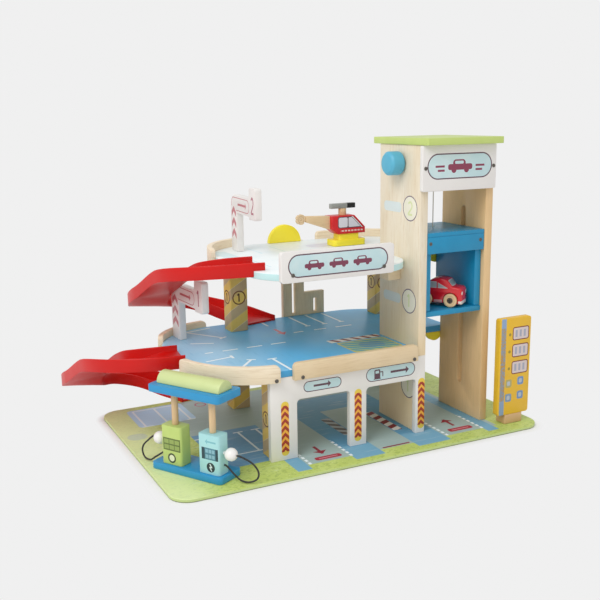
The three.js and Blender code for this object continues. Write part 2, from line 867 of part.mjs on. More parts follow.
const levelSigns = [
  ["level_1_sign", level1SignX, level1Top, level1SignTurn],
  ["level_2_sign", level2SignX, level2Top, level2SignTurn],
];
for (const [name, x, top, turn] of levelSigns) {
  add(name, levelSign(), paint(offWhite, 0.5), standing(x, levelSignRearY, top + looseGap, turn));
}

// Ramps: stations along the path, each with its place, heading and distance
function rampPath(start, headingDegrees) {
  const firstLength = rampFirstRadius * THREE.MathUtils.degToRad(rampFirstTurn);
  const secondLength = rampSecondRadius * THREE.MathUtils.degToRad(rampSecondTurn);
  const total = firstLength + rampStraight + secondLength;
  const heading = THREE.MathUtils.degToRad(headingDegrees);
  const forward = (turn) => new THREE.Vector2(-Math.cos(turn), Math.sin(turn));
  const inward = (turn) => new THREE.Vector2(Math.sin(turn), Math.cos(turn));
  const origin = new THREE.Vector2(...start);
  const firstCentre = origin.clone().addScaledVector(inward(heading), rampFirstRadius);
  const firstHeading = heading + THREE.MathUtils.degToRad(rampFirstTurn);
  const firstEnd = firstCentre.clone().addScaledVector(inward(firstHeading), -rampFirstRadius);
  const secondStart = firstEnd.clone().addScaledVector(forward(firstHeading), rampStraight);
  const secondCentre = secondStart.clone().addScaledVector(inward(firstHeading), rampSecondRadius);
  const stations = [];
  for (let k = 0; k <= rampStations; k += 1) {
    const s = -rampLip + ((total + rampLip) * k) / rampStations;
    let turn = heading;
    let point = origin.clone().addScaledVector(forward(heading), s);
    if (s > 0 && s <= firstLength) {
      turn = heading + s / rampFirstRadius;
      point = firstCentre.clone().addScaledVector(inward(turn), -rampFirstRadius);
    } else if (s > firstLength && s <= firstLength + rampStraight) {
      turn = firstHeading;
      point = firstEnd.clone().addScaledVector(forward(turn), s - firstLength);
    } else if (s > firstLength + rampStraight) {
      turn = firstHeading + (s - firstLength - rampStraight) / rampSecondRadius;
      point = secondCentre.clone().addScaledVector(inward(turn), -rampSecondRadius);
    }
    stations.push({ point, side: inward(turn), s, total });
  }
  return stations;
}

// The height lost so far, as a smooth curve through the shares of the drop
function dropShare(share) {
  const last = rampDropShares.length - 1;
  const place = Math.min(Math.max(share, 0), 1) * last;
  const k = Math.min(Math.floor(place), last - 1);
  const t = place - k;
  const value = (i) => rampDropShares[Math.min(Math.max(i, 0), last)];
  const slope = (i) => (i <= 0 || i >= last ? 0 : (value(i + 1) - value(i - 1)) / 2);
  const a = value(k);
  const b = value(k + 1);
  return a * (1 - 3 * t * t + 2 * t * t * t) + b * (3 * t * t - 2 * t * t * t)
    + slope(k) * (t - 2 * t * t + t * t * t) + slope(k + 1) * (t * t * t - t * t);
}

function smoothStep(share) {
  const t = Math.min(Math.max(share, 0), 1);
  return t * t * (3 - 2 * t);
}

// A U channel: two walls with chamfered tops and a thin floor
function channelSection(station, deckTop, landingTop) {
  const { point, side, s, total } = station;
  const start = deckTop - rampHang;
  const bottom = start - (start - landingTop) * dropShare(s / total);
  const lipFloor = deckTop + rampLipFloor;
  const floor = bottom + rampFloor + (lipFloor - start - rampFloor) * (1 - smoothStep(s / rampBlendLength));
  const taper = smoothStep((s - (total - rampTaperLength)) / rampTaperLength);
  const top = bottom + rampHeight - (rampHeight - rampEndHeight) * taper;
  const half = rampWidth / 2;
  const wall = half - rampWall;
  const c = rampEdgeChamfer;
  const halfOutline = [
    [half, bottom], [half, top - c], [half - c, top], [wall + c, top], [wall, top - c], [wall, floor],
  ];
  const outline = [...halfOutline, ...halfOutline.slice().reverse().map(([x, z]) => [-x, z])];
  return outline.map(([x, z]) => new THREE.Vector3(point.x - side.x * x, point.y - side.y * x, z));
}

function ramp(start, heading, deckTop, landingTop, deckShape) {
  const sections = rampPath(start, heading).map((station) => (
    channelSection(station, deckTop, landingTop + seatGap)
  ));
  const deckSpace = slab(deckShape(looseGap), deckTop - rampHang - cutOverrun, deckTop + looseGap,
    deckSteps);
  return cut(loft(sections), [deckSpace]);
}
add("upper_ramp", ramp(upperRampStart, upperRampHeading, level2Top, level1Top, level2Outline),
  paint(rampRed, 0.3));
add("lower_ramp", ramp(lowerRampStart, lowerRampHeading, level1Top, groundTop, level1Outline),
  paint(rampRed, 0.3));

// Lift car: floor, two sides and a header board behind the front edge of the roof
const liftLeft = shaftInnerLeft + liftSideClearance;
const liftRight = shaftInnerRight - liftSideClearance;
const liftTop = liftBottom + liftHeight;
const liftRoofBottom = liftTop - liftRoofThickness;
const liftPaint = () => paint(liftBlue, 0.45);
add("lift_floor", block(liftLeft, liftRight, liftFront + liftFloorInset, liftBack, liftBottom, liftFloorTop),
  liftPaint());
const liftSides = [["lift_left_side", liftLeft], ["lift_right_side", liftRight - liftSideThickness]];
for (const [name, x] of liftSides) {
  add(name, block(x, x + liftSideThickness, liftFront + liftHeaderThickness + seatGap, liftBack,
    liftFloorTop + seatGap, liftRoofBottom - seatGap), liftPaint());
}
add("lift_front_frame", block(liftLeft, liftRight, liftFront, liftFront + liftHeaderThickness,
  liftTop - liftHeaderDrop, liftRoofBottom - seatGap), liftPaint());

function liftRoof() {
  const board = block(liftLeft, liftRight, liftFront, liftBack, liftRoofBottom, liftTop);
  const hole = rodZ(stringHoleRadius, liftRoofBottom - cutOverrun, liftTop + cutOverrun,
    liftCentreX, stringY, roundSides / 2);
  return cut(board, [hole]);
}
const stringStandOff = shaftRadius + looseGap + stringRadius;
const stringY = liftCentreY + stringStandOff;
add("lift_roof", liftRoof(), liftPaint());

const pegZ = liftFloorTop + pegHeight;
const pegReach = grooveDepth - seatGap + liftSideClearance - looseGap;
const pegs = [
  ["left_guide_peg", liftLeft - pegReach, liftLeft - seatGap],
  ["right_guide_peg", liftRight + seatGap, liftRight + pegReach],
];
for (const [name, x0, x1] of pegs) {
  add(name, rodX(pegRadius, x0, x1, liftCentreY, pegZ, roundSides / 2), paint(woodColor, 0.6));
}

// Winder: a shaft across the tower with a bevelled knob outside the left panel
const knobRight = towerLeft - looseGap;
const knobLeft = knobRight - knobLength;
const knobSides = 32;
function knob() {
  const profile = [
    [0, 0],
    [knobRadius - knobBevel, 0],
    [knobRadius, knobBevel],
    [knobRadius, knobLength - knobBevel],
    [knobRadius - knobBevel, knobLength],
    [0, knobLength],
  ].map(([x, y]) => new THREE.Vector2(x, y));
  const body = new THREE.LatheGeometry(profile, knobSides);
  body.rotateZ(-Math.PI / 2);
  body.translate(knobLeft, liftCentreY, winderZ);
  const socket = rodX(shaftRadius + looseGap, knobLeft + knobLength / 2, knobRight + cutOverrun,
    liftCentreY, winderZ, roundSides);
  return cut(body, [socket]);
}
add("winding_knob", knob(), paint(knobBlue, 0.45));
add("winding_shaft", rodX(shaftRadius, knobLeft + knobLength / 2 + looseGap,
  shaftInnerRight + shaftSocketDepth - looseGap, liftCentreY, winderZ, roundSides), paint(woodColor, 0.6));

// Lift string: some turns round the shaft, then straight down through the lift's roof to a knot
function liftString() {
  const windingStart = liftCentreX - stringTurns * stringPitch;
  const points = [];
  const turnSteps = stringTurns * stringStepsPerTurn;
  for (let k = 0; k <= turnSteps; k += 1) {
    const angle = (2 * Math.PI * (turnSteps - k)) / stringStepsPerTurn;
    points.push(new THREE.Vector3(
      windingStart + (stringPitch * k) / stringStepsPerTurn,
      liftCentreY + stringStandOff * Math.cos(angle),
      winderZ + stringStandOff * Math.sin(angle),
    ));
  }
  const knotZ = liftRoofBottom - looseGap - stringKnotRadius;
  for (let k = 1; k <= stringDropSteps; k += 1) {
    const z = winderZ + ((knotZ - winderZ) * k) / stringDropSteps;
    points.push(new THREE.Vector3(liftCentreX, stringY, z));
  }
  let leastGap = Infinity;
  for (let a = 0; a < turnSteps; a += 1) {
    for (let b = a + stringStepsPerTurn / 2; b < points.length; b += 1) {
      leastGap = Math.min(leastGap, points[a].distanceTo(points[b]) - 2 * stringRadius);
    }
  }
  console.log(`lift string: least gap to itself ${leastGap.toFixed(2)} mm`);
  const knot = new THREE.SphereGeometry(stringKnotRadius, 10, 8);
  knot.translate(liftCentreX, stringY, knotZ);
  return join([tube(points, stringRadius, stringSides), knot]);
}

// A round tube through points, each ring square to the path and carried on without twist
function tube(points, radius, sides) {
  const rings = [];
  let normal = null;
  for (let k = 0; k < points.length; k += 1) {
    const before = points[Math.max(k - 1, 0)];
    const after = points[Math.min(k + 1, points.length - 1)];
    const along = new THREE.Vector3().subVectors(after, before).normalize();
    if (normal === null) {
      const helper = Math.abs(along.x) < 0.9 ? new THREE.Vector3(1, 0, 0) : new THREE.Vector3(0, 1, 0);
      normal = helper.cross(along).normalize();
    }
    normal.addScaledVector(along, -normal.dot(along)).normalize();
    const binormal = new THREE.Vector3().crossVectors(along, normal);
    const ring = [];
    for (let j = 0; j < sides; j += 1) {
      const angle = (2 * Math.PI * j) / sides;
      ring.push(points[k].clone()
        .addScaledVector(normal, radius * Math.cos(angle))
        .addScaledVector(binormal, radius * Math.sin(angle)));
    }
    rings.push(ring);
  }
  return ringBody(rings);
}

// Rings of a convex section joined to one closed body, each end closed as a fan
function ringBody(rings) {
  const sides = rings[0].length;
  const positions = [];
  for (const ring of rings) {
    for (const point of ring) {
      positions.push(point.x, point.y, point.z);
    }
  }
  const index = [];
  for (let row = 0; row + 1 < rings.length; row += 1) {
    for (let k = 0; k < sides; k += 1) {
      const a = row * sides + k;
      const b = row * sides + ((k + 1) % sides);
      index.push(a, b, b + sides, a, b + sides, a + sides);
    }
  }
  const last = (rings.length - 1) * sides;
  for (let k = 1; k + 1 < sides; k += 1) {
    index.push(0, k + 1, k, last, last + k, last + k + 1);
  }
  const geometry = new THREE.BufferGeometry();
  geometry.setAttribute("position", new THREE.BufferAttribute(new Float32Array(positions), 3));
  geometry.setIndex(enclosedVolume(positions, index) < 0 ? flipped(index) : index);
  geometry.computeVertexNormals();
  return geometry;
}
add("lift_string", liftString(), paint(offWhite, 0.8));

// Toy car, drawn with its nose towards +X and then turned in the lift
const carGroup = standing(carX, carY, liftFloorTop + looseGap, carTurn);
const carFront = carLength / 2;
const carRear = -carLength / 2;
const frontAxleX = carFront - frontAxleFromNose;
const rearAxleX = frontAxleX - wheelbase;

// Body outline as shares of the car's length from its tail and of its height above the sill
const carOutlineShares = [
  [0, 0], [1, 0], [1, 0.49], [0.98, 0.6], [0.94, 0.655], [0.79, 0.68], [0.68, 0.913], [0.61, 0.98],
  [0.5, 1], [0.38, 0.98], [0.28, 0.885], [0.17, 0.68], [0.05, 0.64], [0.007, 0.565], [0, 0.46],
];
function carBody() {
  const points = carOutlineShares.map(([x, z]) => new THREE.Vector2(
    carRear + carLength * x,
    carBodyBottom + (carHeight - carBodyBottom) * z,
  ));
  const geometry = new THREE.ExtrudeGeometry(new THREE.Shape(points), {
    depth: carBodyWidth - 2 * carBevel,
    bevelThickness: carBevel,
    bevelSize: carBevel,
    bevelOffset: -carBevel,
    bevelSegments: 3,
  });
  geometry.rotateX(Math.PI / 2);
  geometry.translate(0, carBodyWidth / 2 - carBevel, 0);
  const half = carBodyWidth / 2;
  const archWall = half - wheelInset - wheelGap;
  const tools = [];
  for (const x of [frontAxleX, rearAxleX]) {
    tools.push(rodY(axleBoreRadius, -half - cutOverrun, half + cutOverrun, x, wheelRadius, roundSides));
    tools.push(block(x - axleSlotWidth / 2, x + axleSlotWidth / 2, -half - cutOverrun, half + cutOverrun,
      -cutOverrun, wheelRadius));
    tools.push(rodY(wheelArchRadius, archWall, half + cutOverrun, x, wheelRadius, roundSides));
    tools.push(rodY(wheelArchRadius, -half - cutOverrun, -archWall, x, wheelRadius, roundSides));
  }
  return cut(geometry, tools);
}
add("car_body", carBody(), paint(carRed, 0.3), carGroup);

// Wheel sets: two dished wheels and their axle turned in one, snapped into the body from below
function wheelSet(x) {
  const inner = carBodyWidth / 2 - wheelInset;
  const outer = inner + wheelWidth;
  const half = [
    [0, -outer],
    [wheelHubRadius, -outer],
    [wheelHubRadius + wheelDish, wheelDish - outer],
    [wheelRimRadius - wheelDish, wheelDish - outer],
    [wheelRimRadius, -outer],
    [wheelRadius - wheelEdge, -outer],
    [wheelRadius, wheelEdge - outer],
    [wheelRadius, -inner - wheelEdge],
    [wheelRadius - wheelEdge, -inner],
    [axleRadius, -inner],
  ];
  const profile = [...half, ...half.slice().reverse().map(([r, y]) => [r, -y])]
    .map(([r, y]) => new THREE.Vector2(r, y));
  return new THREE.LatheGeometry(profile, roundSides).translate(x, 0, wheelRadius);
}
add("car_front_wheel_set", wheelSet(frontAxleX), paint(woodColor, 0.6), carGroup);
add("car_rear_wheel_set", wheelSet(rearAxleX), paint(woodColor, 0.6), carGroup);

// Pump station, drawn along its own length and turned on the base board
const station = standing(stationX, stationY, groundTop + looseGap, stationTurn);
function centred(length, depth, x, y, bottom, top, radius) {
  const outline = rectangle(x - length / 2, x + length / 2, y - depth / 2, y + depth / 2, radius);
  return slab(outline, bottom, top, 4);
}
add("station_base", centred(stationLength, stationDepth, 0, 0, 0, stationThickness, stationCornerRadius),
  paint(stationBlue, 0.45), station);
const pumpBottom = stationThickness + seatGap;
const pumpTop = pumpBottom + pumpHeight;
const canopyBottom = pumpTop + seatGap + stationPostHeight + seatGap;
const canopyTop = canopyBottom + canopyThickness;
const pumps = [
  ["green", greenPumpOffset, 1, pumpGreen, greenHoseShares],
  ["turquoise", -turquoisePumpOffset, -1, pumpTurquoise, turquoiseHoseShares],
];
for (const [name, x, side, color, hoseShares] of pumps) {
  add(`${name}_pump`, centred(pumpLength, pumpDepth, x, pumpForward, pumpBottom, pumpTop, pumpEdge),
    paint(color, 0.45), station);
  add(`${name}_pump_post`, rodZ(stationPostRadius, pumpTop + seatGap, canopyBottom - seatGap,
    x, pumpForward, roundSides), paint(woodColor, 0.6), station);
  const face = x + (side * pumpLength) / 2;
  add(`${name}_pump_nozzle`, nozzle(face, side), paint(offWhite, 0.35), station);
  add(`${name}_pump_hose`, hose(face, side, hoseShares), paint(black, 0.55), station);
}
add("station_canopy", centred(canopyLength, canopyDepth, canopyX, canopyY, canopyBottom, canopyTop,
  stationCornerRadius), paint(stationBlue, 0.45), station);
add("station_canopy_hump", sideBoard(
  halfDisc(canopyY, canopyTop + seatGap, canopyHumpRadius, true),
  canopyX - canopyHumpLength / 2, canopyHumpLength, roundSides,
), paint(lime, 0.45), station);

// Nozzle: a ball on a short peg that stands out from the pump's end
function nozzle(face, side) {
  const z = pumpBottom + nozzleHeight;
  const ball = new THREE.SphereGeometry(nozzleRadius, 20, 12);
  ball.translate(face + side * (nozzleStandOff + nozzleRadius), pumpForward, z);
  const ends = [face + side * seatGap, face + side * (nozzleStandOff + nozzleRadius)];
  const peg = rodX(nozzlePegRadius, Math.min(...ends), Math.max(...ends), pumpForward, z, roundSides / 2);
  return join([ball, peg]);
}

// Hose: from the outer side of the nozzle out and back to the pump's end, through points given
// as shares of the reach beyond the pump, of the reach aside and of the nozzle's height
function hose(face, side, table) {
  const { reach, shares } = table;
  const span = pumpBottom + nozzleHeight;
  const tip = face + side * (nozzleStandOff + 2 * nozzleRadius + looseGap);
  const start = new THREE.Vector3(tip, pumpForward, span);
  const beyond = new THREE.Vector3(tip + side * 2 * hoseRadius, pumpForward, span);
  const end = new THREE.Vector3(face + side * looseGap, pumpForward, span * shares[shares.length - 1][2]);
  const nearEnd = end.clone().setX(end.x + side * 2 * hoseRadius);
  const middle = shares.slice(0, -1).map(([out, aside, up]) => (
    new THREE.Vector3(face + side * reach * out, pumpForward - reach * aside, span * up)
  ));
  const curve = new THREE.CatmullRomCurve3([start, beyond, ...middle, nearEnd, end], false, "centripetal");
  return tube(curve.getSpacedPoints(hoseSteps), hoseRadius, hoseSides);
}

// Price board on its foot
const totem = standing(totemX, totemY, groundTop + looseGap, 0);
add("totem_foot", centred(totemFootLength, totemFootDepth, 0, 0, 0, totemFootHeight, columnEdgeRadius),
  paint(woodColor, 0.6), totem);
add("totem_board", frontBoard(rectangle(
  totemShift - totemWidth / 2, totemShift + totemWidth / 2,
  totemFootHeight + seatGap, totemFootHeight + seatGap + totemHeight, totemCornerRadius,
), -totemFootDepth / 2, totemThickness, 4), paint(totemYellow, 0.45), totem);

// Helicopter: a stack of blocks on a pontoon, with a boom, a mast and two rotors
const helicopter = standing(heliX, heliY, level2Top + looseGap, heliTurn);
const neckBottom = pontoonHeight;
const cabinBottom = neckBottom + pontoonNeckHeight + seatGap;
const cabinTop = cabinBottom + cabinHeight;
add("helicopter_pontoon", join([
  centred(pontoonLength, pontoonWidth, pontoonShift, 0, 0, pontoonHeight, pontoonCornerRadius),
  centred(pontoonNeckLength, pontoonNeckWidth, pontoonShift, 0,
    pontoonHeight - pontoonEdge, pontoonHeight + pontoonNeckHeight, pontoonEdge),
]), paint(signYellow, 0.45), helicopter);

const cabinFront = cabinLength * cabinFrontShare;
const cabinRear = cabinFront - cabinLength;
function cabin() {
  const points = cabinOutlineShares.map(([x, z]) => new THREE.Vector2(
    cabinRear + cabinLength * x,
    cabinBottom + cabinHeight * z,
  ));
  const geometry = new THREE.ExtrudeGeometry(new THREE.Shape(points), {
    depth: cabinWidth - 2 * cabinBevel,
    bevelThickness: cabinBevel,
    bevelSize: cabinBevel,
    bevelOffset: -cabinBevel,
    bevelSegments: 2,
  });
  geometry.rotateX(Math.PI / 2);
  return geometry.translate(0, cabinWidth / 2 - cabinBevel, 0);
}
add("helicopter_cabin", cabin(), paint(carRed, 0.4), helicopter);

// Boom: tapers to its tip, where a tongue on one side carries a pin for the tail rotor
function boom() {
  const root = cabinRear - seatGap;
  const tip = root - boomLength;
  const top = cabinTop;
  const section = (x, height, width, rise) => [[-1, 0], [1, 0], [1, 1], [-1, 1]].map(([y, z]) => (
    new THREE.Vector3(x, (y * width) / 2, top + rise - height * (1 - z))
  ));
  const body = loft([
    section(root, boomRootHeight, boomRootWidth, 0),
    section(tip, boomTipHeight, boomTipWidth, boomRise),
  ]);
  const rotorX = tip - tailRotorRadius - looseGap;
  const rotorZ = top + boomRise - boomTipHeight / 2;
  const tongueSide = boomTipWidth / 2 - tailTongueThickness;
  const tongue = block(rotorX - tailPinRadius * 2, tip + tailTongueLap, tongueSide,
    boomTipWidth / 2, rotorZ - boomTipHeight / 4, rotorZ + boomTipHeight / 4);
  const pin = rodY(tailPinRadius, tongueSide - looseGap * 2 - tailRotorWidth, boomTipWidth / 2,
    rotorX, rotorZ, roundSides / 2);
  return { geometry: join([body, tongue, pin]), rotorX, rotorZ };
}
const boomPiece = boom();
add("helicopter_boom", boomPiece.geometry, paint(woodColor, 0.6), helicopter);
const tailRotorY = boomTipWidth / 2 - tailTongueThickness - looseGap;
const tailDisc = rodY(tailRotorRadius, tailRotorY - tailRotorWidth, tailRotorY,
  boomPiece.rotorX, boomPiece.rotorZ, knobSides);
const tailCutStart = tailRotorY - tailRotorWidth - cutOverrun;
const tailCutEnd = tailRotorY + cutOverrun;
const tailBore = rodY(tailPinRadius + looseGap, tailCutStart, tailCutEnd,
  boomPiece.rotorX, boomPiece.rotorZ, roundSides / 2);
const tailTools = [tailBore];
for (let k = 0; k < tailNotches; k += 1) {
  const angle = (2 * Math.PI * (k + 1 / 2)) / tailNotches;
  const x = boomPiece.rotorX + tailRotorRadius * Math.cos(angle);
  const z = boomPiece.rotorZ + tailRotorRadius * Math.sin(angle);
  tailTools.push(rodY(tailNotchRadius, tailCutStart, tailCutEnd, x, z, roundSides / 2));
}
add("tail_rotor", cut(tailDisc, tailTools), paint(woodColor, 0.6), helicopter);

const mastX = cabinRear + cabinLength * mastShare;
const mastBottom = cabinTop + seatGap;
const rotorBottom = mastBottom + mastHeight + looseGap;
const mastParts = join([
  rodZ(mastRadius, mastBottom, mastBottom + mastHeight, mastX, 0, roundSides),
  rodZ(mastPinRadius, mastBottom, rotorBottom + rotorHeight, mastX, 0, roundSides / 2),
]);
add("helicopter_mast", mastParts, paint(woodColor, 0.6), helicopter);
const rotorTop = rotorBottom + rotorHeight;
const rotorBlade = centred(rotorLength, rotorWidth, mastX, 0, rotorBottom, rotorTop, pontoonEdge);
const rotorBore = rodZ(mastPinRadius + looseGap, rotorBottom - cutOverrun, rotorTop + cutOverrun,
  mastX, 0, roundSides / 2);
add("main_rotor", cut(rotorBlade, [rotorBore]), paint(grey, 0.5), helicopter);

export default garage;
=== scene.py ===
# A wooden toy parking garage: base board, two decks, a tower with a hand wound lift, two
# spiral ramps, a pump station, a price board, a toy car and a toy helicopter.
import math

import bmesh
import bpy
from mathutils import Matrix, Vector


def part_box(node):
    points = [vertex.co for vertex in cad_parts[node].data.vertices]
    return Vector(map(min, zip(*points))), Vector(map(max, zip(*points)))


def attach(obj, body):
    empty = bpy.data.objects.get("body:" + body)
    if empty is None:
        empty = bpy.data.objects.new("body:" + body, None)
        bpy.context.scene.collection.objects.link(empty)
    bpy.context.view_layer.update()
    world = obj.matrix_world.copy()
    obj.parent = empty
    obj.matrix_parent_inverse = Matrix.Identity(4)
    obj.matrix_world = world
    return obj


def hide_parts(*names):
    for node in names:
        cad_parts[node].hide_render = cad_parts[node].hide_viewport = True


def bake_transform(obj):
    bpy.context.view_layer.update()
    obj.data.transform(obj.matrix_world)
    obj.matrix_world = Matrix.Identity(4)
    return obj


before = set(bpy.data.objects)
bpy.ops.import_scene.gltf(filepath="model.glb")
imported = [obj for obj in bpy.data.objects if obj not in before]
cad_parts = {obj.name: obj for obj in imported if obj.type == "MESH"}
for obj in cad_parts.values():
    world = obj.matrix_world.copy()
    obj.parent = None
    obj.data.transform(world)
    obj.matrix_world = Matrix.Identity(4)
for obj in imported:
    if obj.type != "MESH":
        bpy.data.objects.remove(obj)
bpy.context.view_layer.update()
mm = 0.001


# Camera: it stands in front of the toy, left of its middle and a little above the upper deck,
# with a lens that is long enough to keep the boards' edges nearly parallel.
eye = Vector((-0.6098, -1.1753, 0.4824))
camera_azimuth = math.radians(26.49)
camera_pitch = math.radians(12.19)
camera_roll = math.radians(-0.80)
ahead = Vector((
    math.sin(camera_azimuth) * math.cos(camera_pitch),
    math.cos(camera_azimuth) * math.cos(camera_pitch),
    -math.sin(camera_pitch),
))
level_right = Vector((math.cos(camera_azimuth), -math.sin(camera_azimuth), 0))
level_up = level_right.cross(ahead)
camera_right = level_right * math.cos(camera_roll) + level_up * math.sin(camera_roll)
camera_up = level_up * math.cos(camera_roll) - level_right * math.sin(camera_roll)
camera_data = bpy.data.cameras.new("camera")
camera_data.lens = 52.07
camera_data.sensor_width = 36
camera_data.shift_x = -0.0005
camera_data.shift_y = 0.0031
camera = bpy.data.objects.new("camera", camera_data)
camera.matrix_world = Matrix((camera_right, camera_up, -ahead)).transposed().to_4x4()
camera.location = eye
bpy.context.scene.collection.objects.link(camera)
bpy.context.scene.camera = camera


# Pump hoses: black rubber cord, one on each pump, that leaves the outer side of the white nozzle
# ball, swings out and down and goes back into the end of its pump.
class Value:
    """A socket that varies over a surface: arithmetic on it adds Math nodes."""

    def __init__(self, finish, socket):
        self.finish = finish
        self.socket = socket

    def math(self, operation, *values):
        return self.finish.node("Math", {"operation": operation}, dict(enumerate(values)))

    def __add__(self, other):
        return self.math("ADD", self, other)

    def __radd__(self, other):
        return self.math("ADD", other, self)

    def __sub__(self, other):
        return self.math("SUBTRACT", self, other)

    def __rsub__(self, other):
        return self.math("SUBTRACT", other, self)

    def __mul__(self, other):
        return self.math("MULTIPLY", self, other)

    def __rmul__(self, other):
        return self.math("MULTIPLY", other, self)

    def __truediv__(self, other):
        return self.math("DIVIDE", self, other)

    def __mod__(self, other):
        return self.math("FLOORED_MODULO", self, other)

    def __abs__(self):
        return self.math("ABSOLUTE", self)

    def __lt__(self, other):
        return self.math("LESS_THAN", self, other)

    def __gt__(self, other):
        return self.math("GREATER_THAN", self, other)

    def __and__(self, other):
        return self.math("MULTIPLY", self, other)

    def __or__(self, other):
        return self.math("MAXIMUM", self, other)

    def root(self):
        return self.math("SQRT", self)

    def within(self, low, high):
        return self.math("COMPARE", self, (low + high) / 2, (high - low) / 2)

    def over(self, low, high):
        """0 up to low, 1 from high on, smooth between them."""
        return self.finish.node("MapRange", {"interpolation_type": "SMOOTHSTEP"}, {
            "Value": self, "From Min": low, "From Max": high,
        })


def tone(text):
    """A colour written as in a paint chart, turned linear for the shader."""
    parts = [int(text[k:k + 2], 16) / 255 for k in (1, 3, 5)]
    return (*[c / 12.92 if c <= 0.04045 else ((c + 0.055) / 1.055) ** 2.4 for c in parts], 1)


class Finish:
    """One material: its shader, the place on the toy in millimetres, and the ink so far."""

    def __init__(self, name, colour, roughness, constants=None):
        self.material = bpy.data.materials.new(name)
        self.material.use_nodes = True
        self.tree = self.material.node_tree
        self.shader = self.tree.nodes["Principled BSDF"]
        self.shader.inputs["Base Color"].default_value = tone(colour)
        self.shader.inputs["Roughness"].default_value = roughness
        for socket, value in (constants or {}).items():
            self.shader.inputs[socket].default_value = value
        place = self.node("TexCoord", output="Object")
        self.place = self.node("VectorMath", {"operation": "SCALE"}, {0: place, "Scale": 1000})
        self.x, self.y, self.z = (
            self.node("SeparateXYZ", inputs={0: self.place}, output=k) for k in range(3)
        )
        self.ink = tone(colour)

    def node(self, kind, settings=None, inputs=None, output=0):
        made = self.tree.nodes.new("ShaderNode" + kind)
        for name, value in (settings or {}).items():
            setattr(made, name, value)
        for key, value in (inputs or {}).items():
            socket = made.inputs[key]
            if isinstance(value, Value):
                self.tree.links.new(value.socket, socket)
            else:
                socket.default_value = value
        return Value(self, made.outputs[output])

    def mix(self, mask, below, above):
        return self.node("Mix", {"data_type": "RGBA"}, {0: mask, 6: below, 7: above}, output=2)

    def cover(self, mask, colour):
        """Prints a colour over the ink where the mask is 1."""
        self.ink = self.mix(mask, self.ink, tone(colour) if isinstance(colour, str) else colour)

    def noise(self, size, detail=3, stretch=(1, 1, 1), roughness=0.55):
        """Cloudy noise whose spots are about size millimetres, drawn out along an axis."""
        scaled = self.node("Mapping", {"vector_type": "POINT"}, {
            "Vector": self.place, "Scale": tuple(1 / (size * s) for s in stretch),
        })
        return self.node("TexNoise", None, {
            "Vector": scaled, "Scale": 1, "Detail": detail, "Roughness": roughness,
        })

    def cloud(self, size, shade, strength=0.4):
        """Soft clouds of a second shade of the same paint."""
        self.cover(self.noise(size, 2).over(0.35, 0.8) * strength, shade)

    def done(self, height=None, depth=0.1, rough=None):
        """Links the ink, a bump of a depth in millimetres and a varying roughness."""
        if isinstance(self.ink, Value):
            self.tree.links.new(self.ink.socket, self.shader.inputs["Base Color"])
        if rough is not None:
            self.tree.links.new(rough.socket, self.shader.inputs["Roughness"])
        if height is not None:
            bump = self.node("Bump", None, {"Height": height, "Distance": depth * mm, "Strength": 0.6})
            self.tree.links.new(bump.socket, self.shader.inputs["Normal"])
        return self.material


def rubber_finish():
    finish = Finish("hose_rubber", "#2B2B2A", 0.5)
    dust = finish.noise(3, 2)
    finish.cover(dust.over(0.45, 0.8) * 0.35, "#4A4A47")
    return finish.done(height=finish.noise(0.8), depth=0.05, rough=0.4 + dust * 0.25)


station_low, station_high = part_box("station_base")
station_place = Vector((
    (station_low[0] + station_high[0]) / 2, (station_low[1] + station_high[1]) / 2, station_low[2],
))
station_angle = math.radians(121.1)
station_turn = Matrix.Rotation(station_angle, 3, "Z")
station_base_thickness = 9.5
seat_gap = 0.1
pump_half_length = 17.5
pump_y = 7.5
nozzle_radius = 9
nozzle_stand_off = 3
nozzle_height_on_pump = 30.5
nozzle_rise = station_base_thickness + seat_gap + nozzle_height_on_pump
hose_gap = 0.3
hose_radius = 1.25
hose_steps = 8


def at_station(x, y, z):
    """A point drawn on the pump station, in millimetres, as a place on the toy."""
    return station_place + station_turn @ Vector((x * mm, y * mm, z * mm))


def smooth_route(points, steps):
    """Points along a centripetal curve that passes through the given ones."""
    knots = [points[0] * 2 - points[1], *points, points[-1] * 2 - points[-2]]
    route = []
    for k in range(1, len(knots) - 2):
        a, b, c, d = knots[k - 1:k + 3]
        t0 = 0
        t1 = t0 + (b - a).length ** 0.5
        t2 = t1 + (c - b).length ** 0.5
        t3 = t2 + (d - c).length ** 0.5
        for step in range(steps):
            t = t1 + (t2 - t1) * step / steps
            ab = a * ((t1 - t) / (t1 - t0)) + b * ((t - t0) / (t1 - t0))
            bc = b * ((t2 - t) / (t2 - t1)) + c * ((t - t1) / (t2 - t1))
            cd = c * ((t3 - t) / (t3 - t2)) + d * ((t - t2) / (t3 - t2))
            abc = ab * ((t2 - t) / (t2 - t0)) + bc * ((t - t0) / (t2 - t0))
            bcd = bc * ((t3 - t) / (t3 - t1)) + cd * ((t - t1) / (t3 - t1))
            route.append(abc * ((t2 - t) / (t2 - t1)) + bcd * ((t - t1) / (t2 - t1)))
    route.append(points[-1].copy())
    return route


